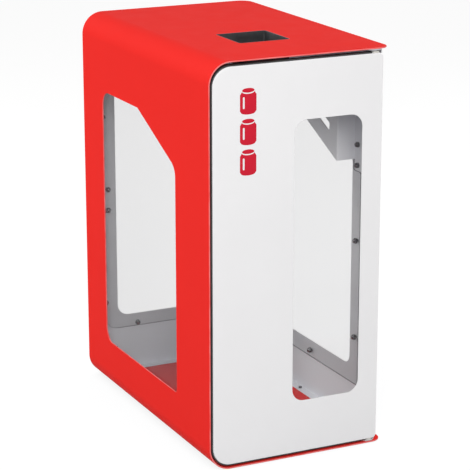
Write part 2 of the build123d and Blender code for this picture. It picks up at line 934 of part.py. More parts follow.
with BuildPart() as aperture_liner:
    with BuildSketch(Plane.XY.offset(ceiling_z)):
        with Locations((aperture_x, aperture_y)):
            Rectangle(aperture_width + 2 * liner_rim, aperture_length + 2 * liner_rim)
    extrude(amount=-liner_wall)
    # The tube covers the cut edge of the wrap and ends flush with its top
    for inset, mode in ((liner_play, Mode.ADD), (liner_play + liner_wall, Mode.SUBTRACT)):
        with BuildSketch(Plane.XY.offset(height)):
            with Locations((aperture_x, aperture_y)):
                RectangleRounded(
                    aperture_width - 2 * inset,
                    aperture_length - 2 * inset,
                    aperture_corner - inset,
                )
        extrude(amount=-(wrap_sheet + liner_depth), mode=mode)
save(aperture_liner, "aperture_liner")
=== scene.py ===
# %% [markdown]
# A recycling bin of folded sheet
#
# The body of the bin is three sheets of metal and four of clear plastic. A red
# sheet is folded into a C that makes the top, the left side and the floor. A
# white one makes the rear and the right wall. A shallow white pan is the door,
# and the clear sheets close the windows. A fixed frame gives every piece its
# place and size, so this lesson adds what the frame lacks: soft edges, true
# bends, round nuts, and finishes.

import json
import math

import bmesh
import bpy
from mathutils import Matrix, Vector


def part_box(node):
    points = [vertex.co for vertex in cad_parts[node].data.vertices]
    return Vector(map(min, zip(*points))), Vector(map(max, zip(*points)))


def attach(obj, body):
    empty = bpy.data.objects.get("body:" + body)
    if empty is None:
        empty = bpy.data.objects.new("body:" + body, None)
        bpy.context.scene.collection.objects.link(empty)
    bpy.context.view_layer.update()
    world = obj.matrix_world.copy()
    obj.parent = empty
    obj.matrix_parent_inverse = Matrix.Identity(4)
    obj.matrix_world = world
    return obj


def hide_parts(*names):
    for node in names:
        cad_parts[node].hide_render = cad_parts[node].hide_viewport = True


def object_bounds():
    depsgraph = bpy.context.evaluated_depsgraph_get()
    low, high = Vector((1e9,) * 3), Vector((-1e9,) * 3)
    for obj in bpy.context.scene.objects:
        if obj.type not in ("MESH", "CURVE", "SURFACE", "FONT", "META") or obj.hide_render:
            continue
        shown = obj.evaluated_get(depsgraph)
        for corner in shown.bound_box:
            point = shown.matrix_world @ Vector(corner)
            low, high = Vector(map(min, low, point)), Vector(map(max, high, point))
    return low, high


MM = 0.001
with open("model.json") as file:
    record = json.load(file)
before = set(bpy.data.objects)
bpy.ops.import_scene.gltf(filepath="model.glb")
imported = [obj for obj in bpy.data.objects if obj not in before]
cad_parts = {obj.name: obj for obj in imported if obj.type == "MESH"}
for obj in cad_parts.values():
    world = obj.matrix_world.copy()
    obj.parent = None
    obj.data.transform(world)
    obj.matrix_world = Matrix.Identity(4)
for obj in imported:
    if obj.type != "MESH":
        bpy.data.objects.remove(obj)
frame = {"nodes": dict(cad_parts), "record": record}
cad_bounds = [list(corner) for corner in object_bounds()]

# %% [markdown]
# Most sizes are read from the frame, because a number that is typed twice can
# drift apart. The box of each sheet gives the faces between which its skin has
# to stay, and the step from one box to the next gives a sheet's thickness.

# %% Read the main faces from the frame
wrap_low, wrap_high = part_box("outer_wrap")
shell_low, shell_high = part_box("body_shell")
door_low, door_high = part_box("door_panel")
side_pane_low, side_pane_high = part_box("left_pane")
right_pane_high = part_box("right_pane")[1]
rear_pane_low, rear_pane_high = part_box("rear_pane")
door_pane_low, door_pane_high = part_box("door_pane")

wrap_sheet = shell_low.z - wrap_low.z
white_sheet = shell_high.x - right_pane_high.x
pane_sheet = side_pane_high.x - side_pane_low.x
print(f"wrap {wrap_sheet / MM:.1f} mm, shell {white_sheet / MM:.1f} mm, panes {pane_sheet / MM:.1f} mm")

# %% [markdown]
# A box can't tell how round a bend is, or how far a pane reaches past its
# window. These few sizes are read from the photograph, or chosen as such bins
# have them, and each is named once.

# %% Radii and margins that no box can tell
wrap_bend = 45 * MM
plate_corner = 25 * MM
fold_radius = 3 * MM
paint_edge = 0.4 * MM
thin_edge = 0.3 * MM
pane_overlap = 28 * MM
side_pane_overlap = 35 * MM
side_pane_corner = 5 * MM
flat_window_corner = 25 * MM
window_corner = 30 * MM
window_small_corner = 8 * MM
right_window_low_corner = 20 * MM
slope_run = 180 * MM
slope_drop = 83 * MM
aperture_corner = 6 * MM
print(f"the side windows drop {slope_drop / MM:.0f} mm over {slope_run / MM:.0f} mm at the front")

# %% [markdown]
# A sheet part starts as an outline: a few corners, each with its radius. One
# function turns that into a loop of points, and can also grow or shrink the
# whole outline. A painted edge needs that, since it is the same loop drawn a
# few tenths of a millimetre further in. Corners always get the same number of
# points, so loops of different sizes join up point by point.

# %% Draw a closed outline
corner_steps = 10
least_bend = 0.05 * MM


def outline(corners, radii, steps=corner_steps):
    """Shape function: shape(grow) is the closed loop of the corners, moved outwards by grow."""
    twice_area = sum(
        Vector(one).cross(Vector(two)) for one, two in zip(corners, corners[1:] + corners[:1])
    )
    if twice_area < 0:
        corners, radii = corners[::-1], radii[::-1]

    def shape(grow=0.0):
        loop = []
        for number, (corner, radius) in enumerate(zip(corners, radii)):
            here = Vector(corner)
            arriving = (here - Vector(corners[number - 1])).normalized()
            leaving = (Vector(corners[(number + 1) % len(corners)]) - here).normalized()
            out_a = Vector((arriving.y, -arriving.x))
            out_b = Vector((leaving.y, -leaving.x))
            here = here + (out_a + out_b) * grow / (1 + out_a.dot(out_b))
            if not radius:
                loop.append(here)
                continue
            turn = math.atan2(arriving.cross(leaving), arriving.dot(leaving))
            side = math.copysign(1, turn)
            bent = max(radius + side * grow, least_bend)
            start = here - arriving * bent * math.tan(abs(turn) / 2)
            centre = start - out_a * bent * side
            for step in range(steps + 1):
                swing = Matrix.Rotation(turn * step / steps, 2)
                loop.append(centre + swing @ (start - centre))
        return loop

    return shape


def box_outline(low, high, radius, steps=corner_steps):
    """Shape function of a rectangle with equal corners."""
    corners = [(low[0], low[1]), (high[0], low[1]), (high[0], high[1]), (low[0], high[1])]
    return outline(corners, [radius] * 4, steps)


print("points round a box with round corners:", len(box_outline((0, 0), (1, 1), 0.1)()))

# %% [markdown]
# A sheet is closed by walls. The outer wall follows the outline from the front
# face round to the back face, and every hole has a wall of its own. Each wall
# is a list of rings, and each ring says how far the outline grows and how deep
# it lies. A few rings close together at an edge give the small round that paint
# leaves there, and a longer list gives a collar or a folded return.

# %% Rings for a soft edge
quarter = math.pi / 2


def soft_wall(thickness, side, edge=paint_edge, steps=3):
    """Rings from front to back, as (grow, depth).

    side is -1 for an outer edge, which shrinks at both faces, and +1 for a hole."""
    turn = [quarter * step / steps for step in range(steps + 1)]
    front = [(side * edge * (1 - math.sin(a)), edge * (1 - math.cos(a))) for a in turn]
    back = [(grow, thickness - depth) for grow, depth in reversed(front)]
    return front + back


print("rings of a soft edge:", len(soft_wall(white_sheet, -1)))

# %% [markdown]
# With its walls made, a sheet lacks only its two faces. Each is a flat region
# between the end rings of all the walls, and triangles fill it in one go, so
# holes need no boolean. The points between the end rings are marked as the rim.
# The finishes read that mark later: paint is paler there, partly because paint
# thins there and partly as a painted highlight of an edge catching light, and
# clear plastic is darker there, as its cut edge.

# %% Close a sheet between its walls
merge_distance = 0.001 * MM


def new_mesh():
    """An empty mesh in which each point can say whether it lies on a rim."""
    mesh = bmesh.new()
    mesh.verts.layers.float.new("edge_rim")
    return mesh


def bridge(mesh, low, high, closed=True):
    """Faces between two rows of points. Closed rows also join up at their ends."""
    after_low = low[1:] + low[:1] if closed else low[1:]
    after_high = high[1:] + high[:1] if closed else high[1:]
    for corners in zip(low, after_low, after_high, high):
        mesh.faces.new(corners)


def skin(walls):
    """Solid mesh from (shape, rings) walls. Local x and y are the outline's, and depth runs along -z."""
    mesh = new_mesh()
    on_rim = mesh.verts.layers.float["edge_rim"]
    front, back = [], []
    for shape, rings in walls:
        rows = [[mesh.verts.new((p.x, p.y, -depth)) for p in shape(grow)] for grow, depth in rings]
        for low, high in zip(rows, rows[1:]):
            bridge(mesh, low, high)
        for row in rows[1:-1]:
            for vert in row:
                vert[on_rim] = 1.0
        front.append(rows[0])
        back.append(rows[-1])
    for rows in (front, back):
        edges = [mesh.edges.get(pair) for row in rows for pair in zip(row, row[1:] + row[:1])]
        bmesh.ops.triangle_fill(mesh, use_beauty=True, edges=edges)
    bmesh.ops.remove_doubles(mesh, verts=mesh.verts, dist=merge_distance)
    bmesh.ops.recalc_face_normals(mesh, faces=mesh.faces)
    return mesh


def blank(shape, holes, thickness, edge=paint_edge):
    """A flat cut sheet."""
    walls = [(shape, soft_wall(thickness, -1, edge))]
    walls += [(hole, soft_wall(thickness, 1, edge)) for hole in holes]
    return skin(walls)


trial = blank(box_outline((0, 0), (1, 1), 0.1), [], white_sheet)
print("faces of a plain sheet:", len(trial.faces))
trial.free()

# %% [markdown]
# The real sheets are cut flat and then folded on a press, and the mesh goes
# the same way. The path below is the folded sheet seen end on: straight runs
# and round bends. A distance along the sheet says where on that path a point
# lies, and its depth says how far under the outer face. So a bend has its true
# radius, and a hole stays where it was cut.

# %% Walk along a folded path
def folded(start, heading, runs):
    """Place function of a folded strip: place(along, depth) is a point in the plane of the folds.

    runs are lengths, or (radius, degrees) bends, plus to the left. Depth is on the path's right."""
    path = []
    here, angle, along = Vector(start), math.radians(heading), 0.0
    for run in runs:
        if isinstance(run, tuple):
            radius, turn = run[0], math.radians(run[1])
            path.append((along, here.copy(), angle, radius, turn))
            side = math.copysign(1, turn)
            centre = here + side * radius * Vector((-math.sin(angle), math.cos(angle)))
            here = centre + Matrix.Rotation(turn, 2) @ (here - centre)
            angle += turn
            along += radius * abs(turn)
        else:
            path.append((along, here.copy(), angle, 0, 0))
            here = here + run * Vector((math.cos(angle), math.sin(angle)))
            along += run

    def place(distance, depth):
        reached = [stretch for stretch in path if distance >= stretch[0]] or path[:1]
        begun, point, angle, radius, turn = reached[-1]
        beyond = distance - begun
        ahead = Vector((math.cos(angle), math.sin(angle)))
        right = Vector((math.sin(angle), -math.cos(angle)))
        if not radius:
            return point + beyond * ahead + depth * right
        side = math.copysign(1, turn)
        centre = point - side * radius * right
        spoke = (point - centre) * (radius + side * depth) / radius
        return centre + Matrix.Rotation(side * beyond / radius, 2) @ spoke

    place.bends = [(begun, radius * abs(turn), abs(turn)) for begun, _, _, radius, turn in path if radius]
    place.length = along
    return place


one_fold = folded((0, 0), 0, [(fold_radius, 90)])
print(f"a right-angle fold takes {one_fold.length / MM:.1f} mm of sheet")

# %% [markdown]
# A flat face can't follow a bend until it has edges across it. So the mesh is
# first cut into narrow strips wherever a fold will be, and only then are its
# points carried to their places. The same step turns an unfolded sheet to face
# the front or to lie level.

# %% Cut the strips and fold
degrees_per_strip = 6
fewest_strips = 3


def crease(mesh, place, axis):
    """Cuts the flat mesh across every bend of the path."""
    normal = Vector((0, 0, 0))
    normal[axis] = 1
    for along, length, turn in place.bends:
        strips = max(fewest_strips, round(math.degrees(turn) / degrees_per_strip))
        for step in range(strips + 1):
            point = normal * (along + length * step / strips)
            geometry = mesh.verts[:] + mesh.edges[:] + mesh.faces[:]
            bmesh.ops.bisect_plane(mesh, geom=geometry, plane_co=point, plane_no=normal, dist=merge_distance)


def carry(mesh, placer):
    """Moves every vertex: placer(along, across, depth) gives its final place.

    A placer may mirror the sheet, which turns its faces inside out, so they are turned back."""
    for vert in mesh.verts:
        vert.co = placer(vert.co.x, vert.co.y, -vert.co.z)
    if mesh.calc_volume(signed=True) < 0:
        bmesh.ops.reverse_faces(mesh, faces=mesh.faces)


def facing_front(face):
    """Placer of an upright sheet whose front lies at y = face."""
    return lambda x, z, depth: Vector((x, face + depth, z))


def level(top):
    """Placer of a level sheet whose upper side lies at z = top."""
    return lambda x, y, depth: Vector((x, y, top - depth))


print("strips in a right-angle fold:", round(90 / degrees_per_strip))

# %% [markdown]
# Each finished mesh takes the place of one piece of the frame, which is hidden.
# It rides on an empty for the same body, so the pieces of the door stay together,
# and it takes the finish of the piece it stands for.
# Large flat faces should stay flat under smooth shading, so a weighted normal
# modifier lets the big faces win over the narrow rims. A few pieces, such as
# the sign, have no stand-in in the frame and only ride along.

# %% Turn a mesh into a piece
finish_of = {entry["node"]: entry["material_slot"] for entry in frame["record"]["subparts"]}
materials = {}


def as_object(mesh, name, material, sharp):
    """Object of a finished mesh. Edges steeper than sharp, in degrees, stay crisp."""
    data = bpy.data.meshes.new(name)
    mesh.to_mesh(data)
    mesh.free()
    data.shade_smooth()
    data.set_sharp_from_angle(angle=math.radians(sharp))
    data.materials.append(material)
    piece = bpy.data.objects.new(name, data)
    bpy.context.scene.collection.objects.link(piece)
    print(f"{name}: {len(data.vertices)} points")
    return piece


def add_piece(mesh, name, node, body="cabinet", sharp=50):
    """Lets a finished mesh stand for a node of the frame."""
    slot = finish_of[node]
    piece = as_object(mesh, name, materials[slot], sharp)
    even = piece.modifiers.new("even_shading", "WEIGHTED_NORMAL")
    even.keep_sharp = True
    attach(piece, body)
    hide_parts(node)


def add_extra(mesh, name, material, body, sharp=50):
    """Adds a piece that has no stand-in in the frame."""
    piece = as_object(mesh, name, material, sharp)
    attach(piece, body)


print("finishes to make:", ", ".join(sorted(set(finish_of.values()))))

# %% [markdown]
# A finish is a small tree of nodes, and most trees here share a few branches: a
# noise, a range that it is mapped onto, a mix of two colours, and a bump. They
# use object coordinates, which here are the bin's own metres, so a grain of
# half a millimetre is that size on every piece.

# %% Small helpers for node trees
def new_material(name):
    """An empty material with its shader and its coordinates."""
    material = bpy.data.materials.new(name)
    material.use_nodes = True
    nodes = material.node_tree.nodes
    nodes.clear()
    output = nodes.new("ShaderNodeOutputMaterial")
    shader = nodes.new("ShaderNodeBsdfPrincipled")
    material.node_tree.links.new(shader.outputs["BSDF"], output.inputs["Surface"])
    where = nodes.new("ShaderNodeTexCoord")
    return material, shader, where


def noise(material, where, size, detail=2.0, stretch=None):
    """Noise whose lumps are about size metres wide. stretch squeezes it along one axis."""
    nodes, links = material.node_tree.nodes, material.node_tree.links
    texture = nodes.new("ShaderNodeTexNoise")
    texture.inputs["Scale"].default_value = 1 / size
    texture.inputs["Detail"].default_value = detail
    source = where.outputs["Object"]
    if stretch:
        squeeze = nodes.new("ShaderNodeMapping")
        squeeze.inputs["Scale"].default_value = stretch
        links.new(source, squeeze.inputs["Vector"])
        source = squeeze.outputs["Vector"]
    links.new(source, texture.inputs["Vector"])
    return texture.outputs["Fac"]


def between(material, factor, low, high, start=0.3, end=0.7):
    """Maps a factor, which runs from start to end, onto the range from low to high."""
    span = material.node_tree.nodes.new("ShaderNodeMapRange")
    span.inputs["From Min"].default_value = start
    span.inputs["From Max"].default_value = end
    span.inputs["To Min"].default_value = low
    span.inputs["To Max"].default_value = high
    material.node_tree.links.new(factor, span.inputs["Value"])
    return span.outputs["Result"]


def mixed(material, factor, one, two):
    """Colour between one and two. Each is a colour or an output."""
    nodes, links = material.node_tree.nodes, material.node_tree.links
    mix = nodes.new("ShaderNodeMix")
    mix.data_type = "RGBA"
    colour_one, colour_two, result = mix.inputs[6], mix.inputs[7], mix.outputs[2]
    links.new(factor, mix.inputs["Factor"])
    for socket, value in ((colour_one, one), (colour_two, two)):
        if isinstance(value, bpy.types.NodeSocket):
            links.new(value, socket)
        else:
            socket.default_value = (*value, 1)
    return result


def edge_rim(material):
    """How far each place lies on a rim, as the mesh has it marked."""
    wear = material.node_tree.nodes.new("ShaderNodeAttribute")
    wear.attribute_name = "edge_rim"
    return wear.outputs["Fac"]


def bumped(material, shader, height, depth):
    """Adds a bump whose relief is depth metres."""
    bump = material.node_tree.nodes.new("ShaderNodeBump")
    bump.inputs["Distance"].default_value = depth
    bump.inputs["Strength"].default_value = 1
    material.node_tree.links.new(height, bump.inputs["Height"])
    material.node_tree.links.new(bump.outputs["Normal"], shader.inputs["Normal"])


branches = (noise, between, mixed, edge_rim, bumped)
print("branches for the finishes:", ", ".join(branch.__name__ for branch in branches))

# %% [markdown]
# Powder coat is a plastic skin melted onto the metal. Up close it has a fine
# orange peel, its gloss wanders a little, and it thins over an edge, where it
# catches more light. The edges are painted paler in patches: partly that thin
# paint, and partly a painted highlight of the edge catching light. A wide noise
# drifts the colour, a middle one the gloss, and a fine one makes the peel. Light
# that bounces off the paint onto another face is turned grey, because the red
# floor would otherwise tint the white walls inside far more than it does in the
# photograph.

# %% Powder coat
edge_paleness_and_highlight = 0.28
colour_drift = 0.985
bounce_tint = (0.93, 0.95, 1.05)
paint_ior = 1.45
peel_size = 1.4 * MM
peel_depth = 0.008 * MM


def powder_coat(name, colour, gloss, shine):
    """Painted sheet. gloss is the roughness at its middle, and shine its specular level."""
    material, shader, where = new_material(name)
    nodes, links = material.node_tree.nodes, material.node_tree.links
    deep = tuple(part * colour_drift for part in colour)
    paint = mixed(material, between(material, noise(material, where, 120 * MM), 0, 1), colour, deep)
    patchy = between(material, noise(material, where, 25 * MM, 4), 0.3, 0.8)
    amount = nodes.new("ShaderNodeMath")
    amount.operation = "MULTIPLY"
    links.new(edge_rim(material), amount.inputs[0])
    links.new(patchy, amount.inputs[1])
    # Paler rim colour: partly thinner paint, partly a painted highlight of the edge catching light.
    thin_paint_and_highlight = tuple(part + edge_paleness_and_highlight * (1 - part) for part in colour)
    paint = mixed(material, amount.outputs[0], paint, thin_paint_and_highlight)
    path = nodes.new("ShaderNodeLightPath")
    grey = sum(colour) / 3
    bounced = tuple(part * grey for part in bounce_tint)
    paint = mixed(material, path.outputs["Is Diffuse Ray"], paint, bounced)
    links.new(paint, shader.inputs["Base Color"])
    wander = noise(material, where, 40 * MM, 3)
    links.new(between(material, wander, gloss - 0.02, gloss + 0.03), shader.inputs["Roughness"])
    shader.inputs["IOR"].default_value = paint_ior
    shader.inputs["Specular IOR Level"].default_value = shine
    bumped(material, shader, noise(material, where, peel_size), peel_depth)
    return material


materials["red_sheet"] = powder_coat("red_powder_coat", (0.82, 0.027, 0.022), 0.45, 0.005)
materials["white_sheet"] = powder_coat("white_powder_coat", (0.83, 0.823, 0.83), 0.33, 0.4)
print("paints:", ", ".join(sorted(materials)))

# %% [markdown]
# The clear sheets are plastic. A full glass shader would bend the light twice
# and leave the inside dark and noisy, although a flat pane hardly bends it at
# all. So each face of the pane is mostly open and takes a little of the light
# away. Where it is seen at a low angle it is painted pale and less open, a
# painted reflection in place of the one a real pane shows there. Its cut edge is
# dark, and far less open. Layer Weight gives the same angle on both faces, where
# Fresnel would take the far face for a mirror.

# %% Clear plastic
clean_tint = (0.20, 0.19, 0.21)
wiped_tint = (0.29, 0.28, 0.30)
reflection_tint = (0.7, 0.7, 0.71)
cut_edge_tint = (0.12, 0.115, 0.12)
clear_cover = 0.07
reflection_cover = 0.45
cut_edge_cover = 0.6
wipe_stretch = (1, 1, 0.25)
plastic_ior = 1.49


def clear_plastic(name):
    """See-through sheet with a dark cut edge, faint wiping marks and a painted reflection at low angles."""
    material, shader, where = new_material(name)
    nodes, links = material.node_tree.nodes, material.node_tree.links
    on_rim = edge_rim(material)
    wiped = noise(material, where, 60 * MM, 5, wipe_stretch)
    # Painted reflection: paler and less open where the face is seen at a low angle.
    slant = nodes.new("ShaderNodeLayerWeight")
    slant.inputs["Blend"].default_value = 0.5
    painted_reflection = between(material, slant.outputs["Facing"], 0, 1, 0.6, 1.0)
    tint = mixed(material, wiped, clean_tint, wiped_tint)
    tint = mixed(material, painted_reflection, tint, reflection_tint)
    links.new(mixed(material, on_rim, tint, cut_edge_tint), shader.inputs["Base Color"])
    links.new(between(material, wiped, 0.03, 0.09), shader.inputs["Roughness"])
    shader.inputs["IOR"].default_value = plastic_ior
    cover = nodes.new("ShaderNodeMath")
    cover.operation = "MULTIPLY_ADD"
    cover.use_clamp = True
    links.new(on_rim, cover.inputs[0])
    cover.inputs[1].default_value = cut_edge_cover
    links.new(between(material, painted_reflection, clear_cover, reflection_cover, 0, 1), cover.inputs[2])
    links.new(cover.outputs[0], shader.inputs["Alpha"])
    return material


materials["clear_pane"] = clear_plastic("clear_plastic")
print("nodes of the clear plastic:", len(materials["clear_pane"].node_tree.nodes))

# %% [markdown]
# Nuts, studs and pins are plated steel. Plating is cloudy rather than mirror
# bright. The plastics are moulded, with a satin skin. Both wander between two
# colours and two grades of gloss over a fine grain, so one function makes both
# from different sizes and depths.

# %% Steel and moulded plastic
def cloudy_finish(name, colour, other, cloud_size, detail, gloss, grain_size, grain_depth):
    """Finish that drifts between two colours and two grades of gloss. Gives material and shader."""
    material, shader, where = new_material(name)
    links = material.node_tree.links
    cloud = noise(material, where, cloud_size, detail)
    links.new(mixed(material, between(material, cloud, 0, 1), colour, other), shader.inputs["Base Color"])
    links.new(between(material, cloud, *gloss), shader.inputs["Roughness"])
    bumped(material, shader, noise(material, where, grain_size), grain_depth)
    return material, shader


def plated_steel(name, colour, gloss):
    """Zinc plated steel with cloudy gloss and a fine grain."""
    dull = tuple(part * 0.75 for part in colour)
    spread = (gloss - 0.06, gloss + 0.1)
    material, shader = cloudy_finish(name, colour, dull, 6 * MM, 4, spread, 0.5 * MM, 0.01 * MM)
    shader.inputs["Metallic"].default_value = 1
    return material


def moulded_plastic(name, colour, gloss):
    """Satin moulded plastic with a fine grain."""
    pale = tuple(part + 0.03 for part in colour)
    spread = (gloss - 0.05, gloss + 0.05)
    material, _ = cloudy_finish(name, colour, pale, 30 * MM, 3, spread, 0.6 * MM, 0.02 * MM)
    return material


materials["fixing_steel"] = plated_steel("dark_plated_steel", (0.13, 0.125, 0.13), 0.22)
materials["hinge_steel"] = plated_steel("bright_plated_steel", (0.58, 0.58, 0.60), 0.34)
materials["magnet"] = plated_steel("sintered_magnet", (0.10, 0.10, 0.11), 0.55)
materials["black_plastic"] = moulded_plastic("black_moulded_plastic", (0.013, 0.013, 0.015), 0.55)
materials["bush_plastic"] = moulded_plastic("natural_nylon", (0.60, 0.585, 0.54), 0.5)
print("materials:", ", ".join(sorted(materials)))

# %% [markdown]
# Both side walls have a tall window whose upper front corner is cut off along a
# slope. The windows belong to different sheets, so one function draws the
# shape, and the sheet says where each of its points lies on the flat blank.

# %% Shapes of the side windows
window_rear = side_pane_high.y - side_pane_overlap
window_high = side_pane_high.z - side_pane_overlap
left_window_front = side_pane_low.y + 58 * MM
left_window_low = side_pane_low.z + 27 * MM
right_window_front = side_pane_low.y + 38 * MM
right_window_low = side_pane_low.z + side_pane_overlap
slope_rear = left_window_front + slope_run
slope = slope_drop / slope_run


def slope_height(y):
    """Height of the sloping window edge, drawn on past the window."""
    return window_high + slope * (y - slope_rear)


def side_window(spot, front, low, low_corner):
    """Side window's outline. spot(y, z) says where a point of the side lies on a blank."""
    corners = [
        (front, low),
        (window_rear, low),
        (window_rear, window_high),
        (slope_rear, window_high),
        (front, slope_height(front)),
    ]
    radii = [low_corner, window_corner, window_corner, window_small_corner, window_corner]
    return outline([spot(y, z) for y, z in corners], radii)


print(f"left window {(window_high - left_window_low) / MM:.0f} mm tall")

# %% [markdown]
# The wrap could be one box with a hollow, but its look is all in the two wide
# bends and the thin open edges. So it is cut flat as one long sheet, with the
# drop opening and the side window in it, and folded twice.

# %% Cut and fold the wrap
side_length = wrap_high.z - 2 * wrap_bend
plate_length = wrap_high.x - wrap_low.x - wrap_bend
wrap_path = folded(
    (wrap_high.x, wrap_low.z),
    180,
    [plate_length, (wrap_bend, -90), side_length, (wrap_bend, -90), plate_length],
)
liner_low, liner_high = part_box("aperture_liner")
aperture_x = (liner_low.x + liner_high.x) / 2
aperture_y = (liner_low.y + liner_high.y) / 2
aperture_half = 55 * MM


def wrap_up(z):
    """Distance along the blank of a height on the left side."""
    return plate_length + wrap_bend * quarter + z - wrap_bend


def wrap_across(x):
    """Distance along the blank of a place on the top."""
    return wrap_path.length - (wrap_high.x - x)


def place_wrap(along, across, depth):
    """Folds the wrap: the section lies in x and z, and y runs across the sheet."""
    section = wrap_path(along, depth)
    return Vector((section.x, across, section.y))


wrap_outline = box_outline((0, wrap_low.y), (wrap_path.length, wrap_high.y), plate_corner)
aperture = box_outline(
    (wrap_across(aperture_x - aperture_half), aperture_y - aperture_half),
    (wrap_across(aperture_x + aperture_half), aperture_y + aperture_half),
    aperture_corner,
)
left_window = side_window(
    lambda y, z: (wrap_up(z), y), left_window_front, left_window_low, window_small_corner
)
wrap_mesh = blank(wrap_outline, [aperture, left_window], wrap_sheet)
crease(wrap_mesh, wrap_path, axis=0)
carry(wrap_mesh, place_wrap)
add_piece(wrap_mesh, "folded_wrap", "outer_wrap")
print(f"wrap blank {wrap_path.length / MM:.0f} x {(wrap_high.y - wrap_low.y) / MM:.0f} mm")

# %% [markdown]
# The white shell is folded both ways. Its walls bend round the rear right
# corner, and narrow flanges at the floor and under the top bend inwards, so it
# can be screwed to the wrap. One path is the shell seen from above, and the
# other is its wall seen end on.

# %% Both folds of the shell
flange = 18 * MM
flange_fold = 2 * MM
shell_bend = 21 * MM
front_tab = 15 * MM
left_tab_front = 286.5 * MM
left_tab = shell_high.y - fold_radius - left_tab_front
rear_wall = shell_high.x - shell_bend - (shell_low.x + fold_radius)
right_wall = shell_high.y - shell_bend - (shell_low.y + fold_radius)
shell_round = folded(
    (shell_low.x, left_tab_front),
    90,
    [left_tab, (fold_radius, -90), rear_wall, (shell_bend, -90), right_wall, (fold_radius, -90), front_tab],
)
flange_flat = flange + white_sheet - flange_fold
shell_rise = folded(
    (flange + white_sheet, shell_low.z),
    180,
    [
        flange_flat,
        (flange_fold, -90),
        shell_high.z - shell_low.z - 2 * flange_fold,
        (flange_fold, -90),
        flange_flat,
    ],
)
rear_begins = left_tab + fold_radius * quarter
right_begins = rear_begins + rear_wall + shell_bend * quarter
front_begins = right_begins + right_wall + fold_radius * quarter


def on_rear(x):
    """Distance along the shell's blank of a place on the rear wall."""
    return rear_begins + x - shell_low.x - fold_radius


def on_right(y):
    """Distance along the shell's blank of a place on the right wall."""
    return right_begins + shell_high.y - shell_bend - y


def shell_up(z):
    """Height on the shell's blank of a height on its walls."""
    return flange_flat + flange_fold * quarter + z - shell_low.z - flange_fold


print(f"shell blank {shell_round.length / MM:.0f} x {shell_rise.length / MM:.0f} mm")

# %% [markdown]
# On the blank the flanges are tabs with cut-back ends, because metal that is
# folded twice has to be cut clear at the corners. The lower edge is drawn from
# tab to tab, and the upper edge is the same list turned over.

# %% Cut and fold the shell
clear_of_bend = 48.5 * MM
hinge_zone = 24 * MM
front_gap = 0.5 * MM
bend_relief = 44 * MM
left_tab_corner = 1 * MM
tab_corner = 2 * MM
wall_edge = shell_up(shell_low.z + flange_fold)
hinge_height = shell_up(shell_low.z + hinge_zone)
left_tab_height = shell_up(clear_of_bend)
corner_start = on_rear(shell_low.x)
front_edge = front_begins + front_gap


def flange_tab(start, end):
    """Corners of a tab with slanted ends, as (along, up, radius)."""
    return [
        (start, wall_edge, 0),
        (start + flange, 0, tab_corner),
        (end - flange, 0, tab_corner),
        (end, wall_edge, 0),
    ]


def place_shell(along, up, depth):
    """Folds the shell: first the flanges, then the walls."""
    inward, height = shell_rise(up, depth)
    plan = shell_round(along, inward)
    return Vector((plan.x, plan.y, height))


lower_edge = [
    (0, left_tab_height, left_tab_corner),
    (corner_start, left_tab_height, 0),
    (corner_start, wall_edge, bend_relief),
    *flange_tab(on_rear(-143.5 * MM), on_rear(159.5 * MM)),
    *flange_tab(on_right(277.5 * MM), on_right(-242.5 * MM)),
    (front_edge, wall_edge, 0),
    (front_edge, hinge_height, 0),
    (shell_round.length, hinge_height, tab_corner),
]
upper_edge = [(along, shell_rise.length - up, radius) for along, up, radius in reversed(lower_edge)]
shell_corners = lower_edge + upper_edge
shell_outline = outline(
    [(along, up) for along, up, _ in shell_corners], [radius for _, _, radius in shell_corners]
)
rear_window = box_outline(
    (on_rear(rear_pane_low.x + pane_overlap), shell_up(rear_pane_low.z + pane_overlap)),
    (on_rear(rear_pane_high.x - pane_overlap), shell_up(rear_pane_high.z - pane_overlap)),
    flat_window_corner,
)
right_window = side_window(
    lambda y, z: (on_right(y), shell_up(z)),
    right_window_front,
    right_window_low,
    right_window_low_corner,
)
shell_mesh = blank(shell_outline, [rear_window, right_window], white_sheet, thin_edge)
crease(shell_mesh, shell_round, axis=0)
crease(shell_mesh, shell_rise, axis=1)
carry(shell_mesh, place_shell)
add_piece(shell_mesh, "folded_shell", "body_shell")

# %% [markdown]
# Each clear pane is larger than its window and sits behind it. The side panes
# follow the slope of their windows, and a step at the front leaves room for the
# tab of the bag bracket. Flat pieces like these need no fold. They are only
# turned so that their depth runs into the bin.

# %% Cut the panes
pane_edge = 0.35 * MM
pane_corner_steps = 5
bracket_room = 30 * MM
bracket_gap = 2 * MM


def pane_of(shape, placer, name, body="cabinet"):
    """One pane. The placer turns the flat sheet to its wall."""
    mesh = blank(shape, [], pane_sheet, pane_edge)
    carry(mesh, placer)
    add_piece(mesh, name + "_sheet", name, body)


step_rear = side_pane_low.y + bracket_room
step_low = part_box("left_bag_bracket")[0].z - bracket_gap
pane_rise = side_pane_overlap * math.hypot(1, slope)
side_pane_corners = [
    (side_pane_low.y, side_pane_low.z),
    (side_pane_high.y, side_pane_low.z),
    (side_pane_high.y, side_pane_high.z),
    (slope_rear + (side_pane_overlap - pane_rise) / slope, side_pane_high.z),
    (step_rear, slope_height(step_rear) + pane_rise),
    (step_rear, step_low),
    (side_pane_low.y, step_low),
]
side_shape = outline(side_pane_corners, [side_pane_corner] * len(side_pane_corners), pane_corner_steps)
rear_shape = box_outline(rear_pane_low.xz, rear_pane_high.xz, flat_window_corner)
door_shape = box_outline(door_pane_low.xz, door_pane_high.xz, flat_window_corner)
pane_of(side_shape, lambda y, z, depth: Vector((side_pane_low.x + depth, y, z)), "left_pane")
pane_of(side_shape, lambda y, z, depth: Vector((right_pane_high.x - depth, y, z)), "right_pane")
pane_of(rear_shape, lambda x, z, depth: Vector((x, rear_pane_high.y - depth, z)), "rear_pane")
